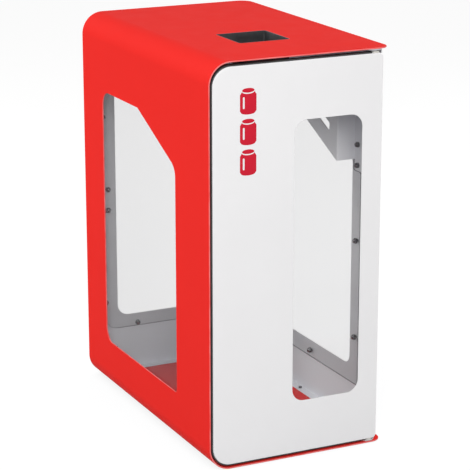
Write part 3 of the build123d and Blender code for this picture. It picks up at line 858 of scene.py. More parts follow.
pane_of(door_shape, facing_front(door_pane_low.y), "door_pane", "door")

# %% [markdown]
# The door is a pan. Its edge turns back, and then turns in again as a lip that
# hides the raw edge and stiffens the sheet. Here that whole section is one list
# of rings, from the front face round the fold, along the return, round the lip
# and back to the inner side.

# %% Section of the pan's edge
def turn_of(centre, radius, start, end, steps=4):
    """Part of a circle in the section, as (grow, depth) rings. Angles are in degrees."""
    rings = []
    for step in range(steps + 1):
        angle = math.radians(start + (end - start) * step / steps)
        rings.append((centre[0] + radius * math.cos(angle), centre[1] + radius * math.sin(angle)))
    return rings


door_depth = door_high.y - door_low.y
door_sheet = 1.5 * MM
door_fold = 2.2 * MM
lip = 14 * MM
inner_fold = door_fold - door_sheet
half_sheet = door_sheet / 2
front_fold_centre = (-door_fold, door_fold)
rear_fold_centre = (-door_fold, door_depth - door_fold)
pan_section = turn_of(front_fold_centre, door_fold, -90, 0, 6)
pan_section += turn_of(rear_fold_centre, door_fold, 0, 90, 6)
pan_section += turn_of((half_sheet - lip, door_depth - half_sheet), half_sheet, 90, 270, 6)
pan_section += turn_of(rear_fold_centre, inner_fold, 90, 0)
pan_section += turn_of(front_fold_centre, inner_fold, 0, -90)
print(f"pan {door_depth / MM:.0f} mm deep, from {len(pan_section)} rings")

# %% [markdown]
# The door's left corners are as round as the wrap's bends, which they lie in,
# and its right corners are small. Its window is a second wall of the skin, as
# thick as the sheet.

# %% Press the door
door_left_corner = 37 * MM
door_right_corner = 8 * MM


def door_loop(right, right_corner):
    """Outline of the door up to a place on its right."""
    corners = [
        (door_low.x, door_low.z),
        (right, door_low.z),
        (right, door_high.z),
        (door_low.x, door_high.z),
    ]
    return outline(corners, [door_left_corner, right_corner, right_corner, door_left_corner])


door_window = box_outline(
    (door_pane_low.x + pane_overlap, door_pane_low.z + pane_overlap),
    (door_pane_high.x - pane_overlap, door_pane_high.z - pane_overlap),
    flat_window_corner,
)
door_walls = [
    (door_loop(door_high.x, door_right_corner), pan_section),
    (door_window, soft_wall(door_sheet, 1, thin_edge)),
]
door_mesh = skin(door_walls)
carry(door_mesh, facing_front(door_low.y))
print("faces of the door before its holes:", len(door_mesh.faces))

# %% [markdown]
# The pins pass through the returns of the pan, so those need round holes. A
# hole across a wall is the one cut that the rings can't make. There a cutter is
# taken away from the sheet, as a drill would do it.

# %% Drill the door for its bushes
def cut_away(mesh, cutter):
    """Mesh without the room that the cutter takes."""
    objects = []
    for part in (mesh, cutter):
        data = bpy.data.meshes.new("cut")
        part.to_mesh(data)
        part.free()
        objects.append(bpy.data.objects.new("cut", data))
        bpy.context.scene.collection.objects.link(objects[-1])
    step = objects[0].modifiers.new("cut", "BOOLEAN")
    step.object = objects[1]
    step.operation = "DIFFERENCE"
    step.solver = "EXACT"
    seen = objects[0].evaluated_get(bpy.context.evaluated_depsgraph_get())
    result = bmesh.new()
    result.from_mesh(seen.to_mesh())
    seen.to_mesh_clear()
    for part in objects:
        data = part.data
        bpy.data.objects.remove(part)
        bpy.data.meshes.remove(data)
    return result


pin_low, pin_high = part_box("hinge_pins")
hinge_x = (pin_low.x + pin_high.x) / 2
hinge_y = (pin_low.y + pin_high.y) / 2
bush_radius = 6 * MM
drill_length = 3 * MM
drill_sides = 32
drills = bmesh.new()
for height in (door_low.z + half_sheet, door_high.z - half_sheet):
    bmesh.ops.create_cone(
        drills,
        cap_ends=True,
        segments=drill_sides,
        radius1=bush_radius,
        radius2=bush_radius,
        depth=drill_length,
        matrix=Matrix.Translation((hinge_x, hinge_y, height)),
    )
door_mesh = cut_away(door_mesh, drills)
add_piece(door_mesh, "pressed_door", "door_panel", "door")

# %% [markdown]
# In the photograph a black line runs round the door at the top, at the left and
# along the floor. It is made as a black strip on the return of the pan, as
# painted shade: the strip stands in for the shadow in the gap and darkens it.
# Its low flat section has round edges and follows the outline of the door. The
# ends stop short of the pins, so the strip is open there, and it is made from
# rows of points with a cap at each end.

# %% Lay the door's strip
strip_high = 2.6 * MM
strip_edge = 0.8 * MM
strip_margin = 2.4 * MM
strip_front = door_low.y + strip_margin
strip_rear = door_high.y - strip_margin
strip_end = hinge_x - 11 * MM
edge_steps = 3
strip_section = [(0, strip_front)]
for step in range(edge_steps + 1):
    angle = quarter * step / edge_steps
    grow = strip_high - strip_edge * (1 - math.sin(angle))
    strip_section.append((grow, strip_front + strip_edge * (1 - math.cos(angle))))
strip_section += [(grow, strip_front + strip_rear - y) for grow, y in reversed(strip_section)]
strip_loop = door_loop(strip_end, 0)
first = corner_steps + 2
strip_mesh = new_mesh()
strip_rows = []
for grow, y in strip_section:
    loop = strip_loop(grow)
    strip_rows.append([strip_mesh.verts.new((p.x, y, p.y)) for p in loop[first:] + loop[:first]])
for low, high in zip(strip_rows, strip_rows[1:] + strip_rows[:1]):
    bridge(strip_mesh, low, high, closed=False)
for end in (0, -1):
    strip_mesh.faces.new([row[end] for row in strip_rows])
bmesh.ops.recalc_face_normals(strip_mesh, faces=strip_mesh.faces)
# Painted shade: a black strip that darkens the gap round the door.
gap_shade = moulded_plastic("black_gap_shade", (0.012, 0.012, 0.013), 0.6)
add_extra(strip_mesh, "door_gap_shade_strip", gap_shade, "door", sharp=35)

# %% [markdown]
# Nuts, studs, pins and bushes are made on a lathe, and a lathe only knows a
# profile: how far along, and how far from the axis. Hexagon nuts start as a bar
# with six flats, so their rings are the smaller of the turned radius and the
# flats. That gives the curved chamfer of a real nut.

# %% Lathe
lathe_sides = 36
flat_turn = math.pi / 3
six_sided = True


def turned(profile, flats=0.0, sides=lathe_sides, closed=False):
    """Mesh from (height, radius, has_flats) rings about z. A flat's corner points along x."""
    mesh = new_mesh()
    rings = []
    for height, radius, has_flats in profile:
        if not radius:
            rings.append([mesh.verts.new((0, 0, height))])
            continue
        ring = []
        for side in range(sides):
            angle = 2 * math.pi * side / sides
            reach = radius
            if has_flats:
                off_flat = angle % flat_turn - flat_turn / 2
                reach = min(radius, flats / 2 / math.cos(off_flat))
            ring.append(mesh.verts.new((reach * math.cos(angle), reach * math.sin(angle), height)))
        rings.append(ring)
    if closed:
        rings.append(rings[0])
    for low, high in zip(rings, rings[1:]):
        for side in range(sides):
            after = (side + 1) % sides
            corners = []
            for ring, spot in ((low, side), (low, after), (high, after), (high, side)):
                vert = ring[spot] if len(ring) > 1 else ring[0]
                if vert not in corners:
                    corners.append(vert)
            mesh.faces.new(corners)
    bmesh.ops.recalc_face_normals(mesh, faces=mesh.faces)
    return mesh


def in_mm(*rings):
    """Profile rings written in millimetres, as (height, radius) or (height, radius, six_sided)."""
    return [(ring[0] * MM, ring[1] * MM, six_sided in ring[2:]) for ring in rings]


print("sides of a turned piece:", lathe_sides)

# %% [markdown]
# Each fixing in the frame is a separate solid inside its node. The loose parts
# of the node's mesh give the place, the axis and the way the flats point, so
# every round nut lands exactly on its plain stand-in.

# %% Find the fixings of a node
bin_middle = (wrap_low + wrap_high) / 2


def islands(node):
    """Boxes (low, high) of the loose parts of a node of the frame."""
    source = frame["nodes"][node]
    mesh = bmesh.new()
    mesh.from_mesh(source.data)
    mesh.transform(source.matrix_world)
    bmesh.ops.remove_doubles(mesh, verts=mesh.verts, dist=merge_distance)
    boxes, seen = [], set()
    for first in mesh.verts:
        if first in seen:
            continue
        group, queue = [], [first]
        seen.add(first)
        while queue:
            vert = queue.pop()
            group.append(vert.co.copy())
            for edge in vert.link_edges:
                other = edge.other_vert(vert)
                if other not in seen:
                    seen.add(other)
                    queue.append(other)
        low = Vector([min(point[axis] for point in group) for axis in range(3)])
        high = Vector([max(point[axis] for point in group) for axis in range(3)])
        boxes.append((low, high))
    mesh.free()
    return boxes


def seat_of(box, longest=False):
    """Matrix that stands a turned piece on its place.

    Its z points away from the sheet, and its x to a corner of the flats."""
    low, high = box
    size = high - low
    order = sorted(range(3), key=lambda axis: size[axis])
    along, corner = (order[2], order[1]) if longest else (order[0], order[2])
    base = (low + high) / 2
    inward = 1 if base[along] < bin_middle[along] else -1
    base[along] = low[along] if inward > 0 else high[along]
    z_axis = Vector((0, 0, 0))
    z_axis[along] = inward
    x_axis = Vector((0, 0, 0))
    x_axis[corner] = 1
    y_axis = z_axis.cross(x_axis)
    turn = Matrix((x_axis, y_axis, z_axis)).transposed().to_4x4()
    return Matrix.Translation(base) @ turn


def add_to(mesh, other, matrix=Matrix.Identity(4)):
    """Adds a copy of one mesh to another, moved by the matrix."""
    data = bpy.data.meshes.new("copy")
    other.to_mesh(data)
    data.transform(matrix)
    mesh.from_mesh(data)
    bpy.data.meshes.remove(data)


def fit_all(node, piece_mesh, name, body="cabinet", longest=False, sharp=28):
    """Puts one copy of a turned piece on each fixing of a node."""
    mesh = new_mesh()
    boxes = islands(node)
    for box in boxes:
        add_to(mesh, piece_mesh, seat_of(box, longest))
    piece_mesh.free()
    print(f"{node}: {len(boxes)} fixings")
    add_piece(mesh, name, node, body, sharp)


print("hinge pins in the frame:", len(islands("hinge_pins")))

# %% [markdown]
# A cap nut hides the sharp end of a stud under a dome. Its bore is blind. A
# plain nut is open, and the end of the stud can be seen in it. Studs have a
# real thread pitch of one millimetre, drawn here as rings, since a spiral that
# small looks the same.

# %% Profiles of nuts and studs
def cap_nut():
    """Domed nut with a blind bore."""
    foot, rise, radius, steps = 4.9, 3.6, 4.75, 8
    angles = [quarter * step / steps for step in range(steps)]
    dome = [(foot + rise * math.sin(angle), radius * math.cos(angle)) for angle in angles]
    profile = in_mm(
        (6.5, 0), (6.4, 3.05), (0.5, 3.05), (0, 3.5), (0, 5, six_sided), (0.35, 5.85, six_sided),
        (4.15, 5.85, six_sided), (4.5, 5, six_sided), (4.55, 4.8), *dome, (foot + rise, 0),
    )
    return turned(profile, 10 * MM)


def open_nut(height, flats, *half):
    """Nut with a through hole. half has the rings of its lower half, from the bore outwards."""
    other_half = [(height - ring[0], *ring[1:]) for ring in reversed(half)]
    return turned(in_mm(*half, *other_half), flats * MM, closed=True)


def plain_nut():
    """Open nut of the hinges and catches."""
    return open_nut(5, 10, (0.5, 3.05), (0, 3.55), (0, 5, six_sided), (0.35, 5.85, six_sided))


def small_nut():
    """Open nut of the shell's flanges."""
    return open_nut(3.2, 7, (0.3, 2.05), (0, 2.4), (0, 3.5, six_sided), (0.25, 4.08, six_sided))


def stud(length, radius=3):
    """Stud with a chamfered end and one thread ring for each millimetre."""
    rings = [(0, 0), (0, radius)]
    for turn in range(1, int(length) - 1):
        rings += [(turn, radius), (turn + 0.5, 0.85 * radius)]
    rings += [(length - 0.8, radius), (length - 0.1, 0.77 * radius), (length, 0.7 * radius), (length, 0)]
    return turned(in_mm(*rings), sides=24)


for pane, body in (("left", "cabinet"), ("right", "cabinet"), ("rear", "cabinet"), ("door", "door")):
    fit_all(f"{pane}_pane_nuts", cap_nut(), f"{pane}_pane_cap_nuts", body)
    fit_all(f"{pane}_pane_studs", stud(9), f"{pane}_pane_threads", body, longest=True)
fit_all("bracket_nuts", cap_nut(), "bracket_cap_nuts")
fit_all("bracket_studs", stud(8), "bracket_threads", longest=True)
fit_all("body_nuts", small_nut(), "body_small_nuts")
fit_all("body_studs", stud(4.7, 2), "body_threads", longest=True)
for holder in ("hinge", "catch"):
    fit_all(f"{holder}_nuts", plain_nut(), f"{holder}_plain_nuts")
    fit_all(f"{holder}_studs", stud(7), f"{holder}_threads", longest=True)

# %% [markdown]
# A steel plate at the floor and one under the top each hold a pin. A plate is a
# flat blank with cut corners, a round hole for its pin and two for its studs.

# %% Hinge plates
plate_cut = 8 * MM
plate_round = 1 * MM
pin_hole = 4.02 * MM
stud_hole = 3.5 * MM
stud_reach = 5 * MM


def disc(centre, radius, points=24):
    """Shape function of a round hole."""

    def shape(grow=0.0):
        reach = radius + grow
        angles = [2 * math.pi * step / points for step in range(points)]
        return [
            Vector((centre[0] + reach * math.cos(angle), centre[1] + reach * math.sin(angle)))
            for angle in angles
        ]

    return shape


def cut_outline(low, high, cut, radius):
    """Shape function of a rectangle whose corners are cut off."""
    corners = [
        (low.x + cut, low.y), (high.x - cut, low.y), (high.x, low.y + cut), (high.x, high.y - cut),
        (high.x - cut, high.y), (low.x + cut, high.y), (low.x, high.y - cut), (low.x, low.y + cut),
    ]
    return outline(corners, [radius] * len(corners), 4)


for plate in ("lower_hinge_plate", "upper_hinge_plate"):
    low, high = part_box(plate)
    holes = [disc((hinge_x, hinge_y), pin_hole)]
    for stud_low, stud_high in islands("hinge_studs"):
        if stud_low.z - stud_reach < low.z < stud_high.z + stud_reach:
            holes.append(disc((stud_low + stud_high) / 2, stud_hole))
    plate_mesh = blank(cut_outline(low, high, plate_cut, plate_round), holes, high.z - low.z, thin_edge)
    carry(plate_mesh, level(high.z))
    add_piece(plate_mesh, plate.replace("plate", "steel"), plate)

# %% [markdown]
# On the door a nylon bush with a rim turns round each pin. The lower rim also
# carries the door, so nothing metal rubs. The bush is a closed loop of rings,
# so its bore comes with it.

# %% Pins and bushes
pin = turned(in_mm((0, 0), (0, 4), (19.2, 4), (19.7, 3.7), (20, 3.2), (20, 0)))
fit_all("hinge_pins", pin, "polished_pins", longest=True)
bush_profile = in_mm(
    (0.4, 4.05), (0, 4.45), (0, 7.7), (0.3, 8), (2.7, 8), (3, 7.7),
    (3, 5.98), (8.6, 5.98), (9, 5.6), (9, 4.4), (8.7, 4.05),
)
fit_all(
    "hinge_bushes", turned(bush_profile, sides=40, closed=True), "nylon_bushes", "door", sharp=35
)

# %% [markdown]
# Each catch is a moulded block with a foot, and a flat magnet sits flush in its
# front. The steel door closes against it. The block is an outline too, seen
# from above, and the magnet's pocket is cut out of it.

# %% Catch blocks and magnets
catch_foot = 3 * MM
catch_foot_length = 24 * MM
catch_edge = 0.5 * MM
catch_corners = [0.6 * MM, 2 * MM, 2 * MM, 1.5 * MM, 1 * MM, 0.6 * MM]
catch_corner_steps = 5
magnet_edge = 0.35 * MM
pocket_front = Vector((0, 1 * MM, 0))


def plain_box(low, high):
    """Box with sharp edges, for cutting."""
    mesh = bmesh.new()
    stretch = Matrix.Diagonal((*(high - low), 1))
    bmesh.ops.create_cube(mesh, size=1, matrix=Matrix.Translation((low + high) / 2) @ stretch)
    return mesh


for place in ("lower", "upper"):
    low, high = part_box(f"{place}_catch")
    magnet_low, magnet_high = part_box(f"{place}_catch_magnet")
    shoulder = high.y - catch_foot_length
    block_outline = [
        (low.x, low.y), (high.x, low.y), (high.x, shoulder), (low.x + catch_foot, shoulder),
        (low.x + catch_foot, high.y), (low.x, high.y),
    ]
    block_shape = outline(block_outline, catch_corners, catch_corner_steps)
    block_mesh = blank(block_shape, [], high.z - low.z, catch_edge)
    carry(block_mesh, level(high.z))
    block_mesh = cut_away(block_mesh, plain_box(magnet_low - pocket_front, magnet_high))
    add_piece(block_mesh, f"{place}_catch_block", f"{place}_catch", sharp=40)
    magnet_shape = box_outline(magnet_low, magnet_high, magnet_edge)
    magnet_mesh = blank(magnet_shape, [], magnet_high.z - magnet_low.z, magnet_edge)
    carry(magnet_mesh, level(magnet_high.z))
    add_piece(magnet_mesh, f"{place}_magnet", f"{place}_catch_magnet")

# %% [markdown]
# A bag bracket starts as a strip with a sloping edge and a triangular slot. It
# is folded twice in plan, away from the wall and then along the bin, and its
# top edge is folded in as a rail. Only the side plate gets that last fold, so a
# notch at its front end keeps the metal from tearing.

# %% Fold the brackets
bracket_sheet = 2 * MM
bracket_rail = 18 * MM
bracket_edge = 0.35 * MM
bracket_corner = 2 * MM
bracket_small_corner = 0.5 * MM
bracket_corner_steps = 6
rail_fold = 3 * MM
tab_fold = 3 * MM
front_fold = 1 * MM
tab_length = 27 * MM
tab_step = 4 * MM
notch = 2.5 * MM
slot_front_margin = 33 * MM
slot_top_margin = 20 * MM
slot_low_margin = 38 * MM
slot_corner = 4 * MM


def bracket(side):
    """One bracket. side is -1 for the left and +1 for the right."""
    name = "right" if side > 0 else "left"
    low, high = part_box(f"{name}_bag_bracket")
    wall = max(abs(low.x), abs(high.x))
    face = min(abs(low.x), abs(high.x)) + bracket_rail
    full = high.z - low.z
    bend_y = low.y + tab_length + tab_fold
    plate = high.y - bend_y - front_fold
    plan = folded(
        (face, high.y),
        -90,
        [plate, (front_fold, 90), wall - face - front_fold - tab_fold, (tab_fold, -90), tab_length],
    )
    rise = folded((0, low.z), 90, [full - rail_fold, (rail_fold, -90), bracket_rail - rail_fold])

    def edge_height(y):
        return slope_height(y) - low.z

    def place(along, up, depth):
        inward, height = rise(up, depth) if along < plate + notch / 2 else (depth, low.z + up)
        spot = plan(along, inward)
        return Vector((side * spot.x, spot.y, height))

    plate_front = bend_y - bracket_sheet
    front_height = edge_height(plate_front)
    tab_begins = plan.length - tab_length + tab_step
    notch_low = full - 3 * notch
    strip_corners = [
        (0, edge_height(high.y), bracket_small_corner),
        (plate, front_height, 0),
        (tab_begins, front_height, bracket_corner),
        (tab_begins, 0, bracket_corner),
        (plan.length, 0, bracket_corner),
        (plan.length, full, bracket_corner),
        (plate + notch, full, bracket_small_corner),
        (plate + notch, notch_low, bracket_small_corner),
        (plate, notch_low, 0),
        (plate, rise.length, bracket_corner),
        (0, rise.length, bracket_corner),
    ]
    strip = outline(
        [(along, up) for along, up, _ in strip_corners],
        [radius for _, _, radius in strip_corners],
        bracket_corner_steps,
    )
    slot_y = plate_front + slot_front_margin
    slot_top = full - slot_top_margin
    slot_low = edge_height(slot_y) + slot_low_margin
    slot_rear = slot_y + (slot_top - slot_low) / slope
    slot_places = [(slot_y, slot_low), (slot_rear, slot_top), (slot_y, slot_top)]
    slot = outline([(high.y - y, up) for y, up in slot_places], [slot_corner] * 3, bracket_corner_steps)
    mesh = blank(strip, [slot], bracket_sheet, bracket_edge)
    crease(mesh, plan, axis=0)
    crease(mesh, rise, axis=1)
    carry(mesh, place)
    add_piece(mesh, f"{name}_folded_bracket", f"{name}_bag_bracket")


bracket(-1)
bracket(1)

# %% [markdown]
# The bag hangs through a frame. Its opening has a collar drawn down from the
# sheet, which is one more list of rings. Two welded ears hold the ring that
# drops over the mouth of the bag.

# %% Frame with its collar
frame_low, frame_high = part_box("bag_frame")
ring_low, ring_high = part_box("bag_ring")
frame_sheet = 2 * MM
frame_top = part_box("left_bag_bracket")[1].z + frame_sheet
collar = frame_top - frame_low.z
collar_draw = 1.8 * MM
collar_edge = 1 * MM
collar_root = 0.3 * MM
mouth_side = 34 * MM
mouth_front = 38 * MM
mouth_rear = 37 * MM
mouth = box_outline(
    (frame_low.x + mouth_side, frame_low.y + mouth_front),
    (frame_high.x - mouth_side, frame_high.y - mouth_rear),
    20 * MM,
)
drawn = turn_of((collar_draw, collar_draw), collar_draw, 270, 180, 5)
drawn += turn_of((collar_edge, collar - collar_edge), collar_edge, 180, 0, 6)
drawn += [(frame_sheet, frame_sheet + 0.1 * MM), (frame_sheet + collar_root, frame_sheet)]
frame_outline = cut_outline(frame_low, frame_high, 10 * MM, 1.5 * MM)
frame_mesh = skin([(frame_outline, soft_wall(frame_sheet, -1)), (mouth, drawn)])
carry(frame_mesh, level(frame_top))
print(f"collar {collar / MM:.0f} mm deep")

# %% [markdown]
# An ear is a small blank of its own, upright, with a round hole for the ring.
# Its foot reaches a little into the frame, as a weld would hold it.

# %% Ears of the frame
rod = 4 * MM
rod_play = 0.05 * MM
ring_z = (ring_low.z + ring_high.z) / 2
ring_rear_y = ring_high.y - rod
ear_sheet = 3 * MM
ear_half = 8 * MM
ear_corner = 6 * MM
ear_foot = frame_top - 0.3 * MM
ear_low = (ring_rear_y - ear_half, ear_foot)
ear_high = (ring_rear_y + ear_half, frame_high.z)
ear_shape = outline(
    [ear_low, (ear_high[0], ear_low[1]), ear_high, (ear_low[0], ear_high[1])],
    [0, 0, ear_corner, ear_corner],
)
for ear_x in (-70 * MM, 70 * MM):
    ear_mesh = blank(ear_shape, [disc((ring_rear_y, ring_z), rod + rod_play, 32)], ear_sheet, thin_edge)
    carry(ear_mesh, lambda y, z, depth: Vector((ear_x + ear_sheet / 2 - depth, y, z)))
    add_to(frame_mesh, ear_mesh)
    ear_mesh.free()
add_piece(frame_mesh, "bag_frame_sheet", "bag_frame")

# %% [markdown]
# Button screws hold the frame to the brackets. Their round heads are turned,
# with a socket in the middle, and each stands on the frame over its plain
# stand-in.

# %% Screws of the frame
head = turned(
    in_mm(
        (-6, 0), (-6, 2.0), (-5.6, 2.5), (0, 2.5), (0, 4.5), (0.5, 4.5),
        (1.5, 4.0), (2.2, 3.0), (2.5, 1.6), (1.2, 1.45), (1.2, 0),
    ),
    sides=24,
)
screws = new_mesh()
for low, high in islands("frame_screws"):
    middle = (low + high) / 2
    add_to(screws, head, Matrix.Translation((middle.x, middle.y, frame_top)))
head.free()
add_piece(screws, "button_screws", "frame_screws", sharp=28)

# %% [markdown]
# The ring that clamps the bag is one rod bent into a loop. A curve with a bevel
# would do too, but the outline is there already: grown and shrunk, and raised
# and lowered, round a small circle, it gives the rod's skin.

# %% Bend the ring
rod_sides = 20
ring_corner = 16 * MM
rod_path = box_outline(
    (ring_low.x + rod, ring_low.y + rod), (ring_high.x - rod, ring_high.y - rod), ring_corner
)
ring_mesh = new_mesh()
rod_rows = []
for side in range(rod_sides):
    angle = 2 * math.pi * side / rod_sides
    height = ring_z + rod * math.sin(angle)
    rod_rows.append([ring_mesh.verts.new((p.x, p.y, height)) for p in rod_path(rod * math.cos(angle))])
for low, high in zip(rod_rows, rod_rows[1:] + rod_rows[:1]):
    bridge(ring_mesh, low, high)
bmesh.ops.recalc_face_normals(ring_mesh, faces=ring_mesh.faces)
add_piece(ring_mesh, "bent_ring", "bag_ring", "ring")

# %% [markdown]
# The black collar of the drop opening is moulded in one piece. Its tube passes
# up through the wrap and ends flush with the top, and a flat rim lies under the
# sheet. So the rim is the outer wall and the tube is the wall of a hole.

# %% Mould the liner
liner_wall = 2 * MM
liner_play = 0.3 * MM
liner_flush = 0.6 * MM
liner_end = 1 * MM
rim_edge = 0.5 * MM
rim_corner = 3 * MM
tube_half = aperture_half - liner_play - liner_wall
tube_depth = liner_high.z - liner_low.z
throat = box_outline(
    (aperture_x - tube_half, aperture_y - tube_half),
    (aperture_x + tube_half, aperture_y + tube_half),
    aperture_corner - liner_play - liner_wall,
)
moulded = [(liner_wall, wrap_sheet)]
moulded += turn_of((liner_wall - liner_flush, liner_flush), liner_flush, 0, -90)
moulded += turn_of((liner_flush, liner_flush), liner_flush, 270, 180)
moulded += turn_of((liner_end, tube_depth - liner_end), liner_end, 180, 0)
moulded += [(liner_wall, wrap_sheet + liner_wall)]
rim = [(grow, depth + wrap_sheet) for grow, depth in soft_wall(liner_wall, -1, rim_edge)]
liner_mesh = skin([(box_outline(liner_low.xy, liner_high.xy, rim_corner), rim), (throat, moulded)])
carry(liner_mesh, level(liner_high.z))
add_piece(liner_mesh, "moulded_liner", "aperture_liner")

# %% [markdown]
# A sign on the door shows what goes into the bin, with a plain picture of three
# drink cans. It could be painted by a material, but real signs are cut from red
# film, and the film has an edge that catches light. So each can is a thin blank
# of its own, with a lid, a body and a streak left open for the shine.

# %% Draw a can
def bowed(middle, height, half, drop, steps=8):
    """Points of the lower half of a flat oval, from left to right."""
    angles = [math.pi * (1 - step / steps) for step in range(steps + 1)]
    return [(middle + half * math.cos(angle), height - drop * math.sin(angle)) for angle in angles]


def can_shapes(middle, low, width, height):
    """One can as (outline, holes): its lid, and its body with a bright streak."""
    neck = width * 0.12
    bow = width * 0.13
    gap = height * 0.045
    side = width / 2
    lid_height = low + height - bow
    base = bowed(middle, low + bow, side - 0.5 * neck, bow)
    shoulder = bowed(middle, lid_height - gap, side - neck, bow)[::-1]
    wide_low = low + bow + 0.6 * neck
    wide_high = lid_height - gap - 1.4 * neck
    sides = [(middle + side, wide_low), (middle + side, wide_high)]
    others = [(middle - side, wide_high), (middle - side, wide_low)]
    rounded = [1 * MM] * 2
    body_radii = [0] * len(base) + rounded + [0] * len(shoulder) + rounded
    body = outline(base + sides + shoulder + others, body_radii, 4)
    streak_x = middle - side + 1.9 * neck
    streak_half = 0.45 * neck
    streak = box_outline(
        (streak_x - streak_half, wide_low + neck), (streak_x + streak_half, wide_high - neck), 0.44 * neck, 5
    )
    lower = bowed(middle, lid_height, side - neck, bow)
    upper = [(x, 2 * lid_height - y) for x, y in lower[-2:0:-1]]
    lid = outline(lower + upper, [0] * len(lower + upper))
    return [(lid, []), (body, [streak])]


print("shapes of a can:", len(can_shapes(0, 0, 1, 1)))

# %% [markdown]
# Three cans, one above the other, lie on the door's face. The film is about a
# tenth of a millimetre thick, and it shares the paint's paler edges, partly wear
# and partly painted highlight, in a deeper red.

# %% Cut the film
film = 0.12 * MM
film_edge = 0.03 * MM
can_width = 34 * MM
can_height = 50 * MM
can_gap = 8 * MM
sign_low = 581 * MM
sign_middle = -111 * MM
sign = new_mesh()
for row in range(3):
    bottom = sign_low + row * (can_height + can_gap)
    for shape, holes in can_shapes(sign_middle, bottom, can_width, can_height):
        cut_film = blank(shape, holes, film, film_edge)
        carry(cut_film, facing_front(door_low.y - film))
        add_to(sign, cut_film)
        cut_film.free()
red_film = powder_coat("red_film", (0.58, 0.010, 0.030), 0.35, 0.2)
add_extra(sign, "film_sign", red_film, "door")

# %% [markdown]
# The photograph has a white ground. To show that ground without pouring more
# light on the bin, floor and world have two faces: a plain one that lights the
# bin, and a white one for rays that come from the camera, or see the ground in
# a reflection or through a pane.

# %% Where the white ground shows
ground_rays = ("Is Camera Ray", "Is Glossy Ray", "Is Transmission Ray")


def show_ground(owner, lit, seen, surface):
    """Sends lit to the surface, and seen where a ray meets the ground itself."""
    nodes, links = owner.node_tree.nodes, owner.node_tree.links
    path = nodes.new("ShaderNodeLightPath")
    direct = path.outputs[ground_rays[0]]
    for kind in ground_rays[1:]:
        either = nodes.new("ShaderNodeMath")
        either.operation = "MAXIMUM"
        links.new(direct, either.inputs[0])
        links.new(path.outputs[kind], either.inputs[1])
        direct = either.outputs[0]
    choice = nodes.new("ShaderNodeMixShader")
    links.new(direct, choice.inputs["Fac"])
    links.new(lit, choice.inputs[1])
    links.new(seen, choice.inputs[2])
    links.new(choice.outputs["Shader"], surface)


print("kinds of ray that see the white ground:", len(ground_rays))

# %% [markdown]
# The floor is a wide sheet of pale paper, just under the bin. What the camera
# sees of it glows nearly white and adds a little real shading, so that the
# bin's shadow stays on it.

# %% Floor
floor_half = 12
floor_drop = 0.5 * MM
floor_data = bpy.data.meshes.new("studio_floor")
floor_corners = [(x * floor_half, y * floor_half, 0) for x, y in ((-1, -1), (1, -1), (1, 1), (-1, 1))]
floor_data.from_pydata(floor_corners, [], [(0, 1, 2, 3)])
studio_floor = bpy.data.objects.new("studio_floor", floor_data)
bpy.context.scene.collection.objects.link(studio_floor)
studio_floor.location.z = cad_bounds[0][2] - floor_drop
paper = bpy.data.materials.new("paper")
paper.use_nodes = True
paper_nodes, paper_links = paper.node_tree.nodes, paper.node_tree.links
paper_shader = paper_nodes["Principled BSDF"]
paper_shader.inputs["Base Color"].default_value = (0.5, 0.5, 0.5, 1)
paper_shader.inputs["Roughness"].default_value = 0.9
paper_shader.inputs["Specular IOR Level"].default_value = 0.2
lit_paper = paper_nodes.new("ShaderNodeBsdfDiffuse")
lit_paper.inputs["Color"].default_value = (0.2, 0.2, 0.2, 1)
glow = paper_nodes.new("ShaderNodeEmission")
glow.inputs["Strength"].default_value = 0.83
seen_paper = paper_nodes.new("ShaderNodeAddShader")
paper_links.new(lit_paper.outputs["BSDF"], seen_paper.inputs[0])
paper_links.new(glow.outputs["Emission"], seen_paper.inputs[1])
paper_output = paper_nodes["Material Output"].inputs["Surface"]
show_ground(paper, paper_shader.outputs["BSDF"], seen_paper.outputs["Shader"], paper_output)
floor_data.materials.append(paper)
print(f"floor {2 * floor_half} m wide")

# %% [markdown]
# The bin stands in soft light from all sides. An even world gives most of it,
# and four wide lamps model the folds a little: the strongest in front, and
# weaker ones at the left, at the right and behind.

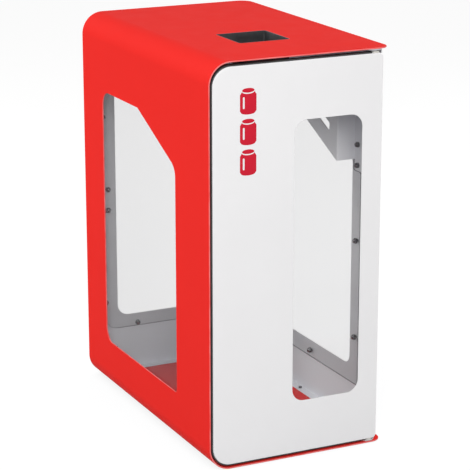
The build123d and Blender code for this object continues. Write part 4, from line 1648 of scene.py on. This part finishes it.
# %% World and lamps
world = bpy.data.worlds.new("studio_world")
world.use_nodes = True
bpy.context.scene.world = world
world_nodes = world.node_tree.nodes
plain_light = world_nodes["Background"]
white_ground = world_nodes.new("ShaderNodeBackground")
for background, strength in ((plain_light, 0.62), (white_ground, 1)):
    background.inputs["Color"].default_value = (1, 1, 1, 1)
    background.inputs["Strength"].default_value = strength
world_output = world_nodes["World Output"].inputs["Surface"]
show_ground(world, plain_light.outputs["Background"], white_ground.outputs["Background"], world_output)


def lamp(name, place, aim_height, size, watts):
    """A square soft lamp that looks at a height above the bin's middle."""
    data = bpy.data.lights.new(name, "AREA")
    data.shape = "SQUARE"
    data.size = size
    data.energy = watts
    thing = bpy.data.objects.new(name, data)
    thing.location = place
    aim = Vector((0, 0, aim_height)) - Vector(place)
    thing.rotation_euler = aim.to_track_quat("-Z", "Y").to_euler()
    bpy.context.scene.collection.objects.link(thing)
    print(f"{name}: {watts} W from {aim.length:.1f} m")


lamp("front_lamp", (-1.1, -3.0, 2.2), aim_height=0.5, size=1.6, watts=62)
lamp("left_lamp", (-3.1, 1.0, 1.4), aim_height=0.4, size=1.6, watts=34)
lamp("right_lamp", (3.2, 0.6, 1.5), aim_height=0.4, size=1.8, watts=26)
lamp("rear_lamp", (-1.3, 3.1, 1.9), aim_height=0.4, size=1.8, watts=18)

# %% [markdown]
# The camera stands where the photograph was taken from, at the left front and a
# little above the bin. Its long lens was fitted to the edges of the bin in the
# picture. The plain Standard view shows colours about as they are written.

# %% Camera
camera_place = (-1.6716, -3.4582, 1.4687)
looks_down = 15.93
turned_right = 25.97
camera_data = bpy.data.cameras.new("camera")
camera_data.lens = 149.05
camera_data.sensor_width = 36
camera = bpy.data.objects.new("camera", camera_data)
camera.location = camera_place
camera.rotation_euler = (math.radians(90 - looks_down), 0, math.radians(-turned_right))
bpy.context.scene.collection.objects.link(camera)
bpy.context.scene.camera = camera
bpy.context.scene.view_settings.view_transform = "Standard"
print(f"camera {camera.location.length:.2f} m from the bin's foot")

# %% [markdown]
# The skin may not outgrow the frame that it dresses. The box of the whole model
# from the start is printed.

# %% Print the box from the start
print("bounds after load:", cad_bounds)
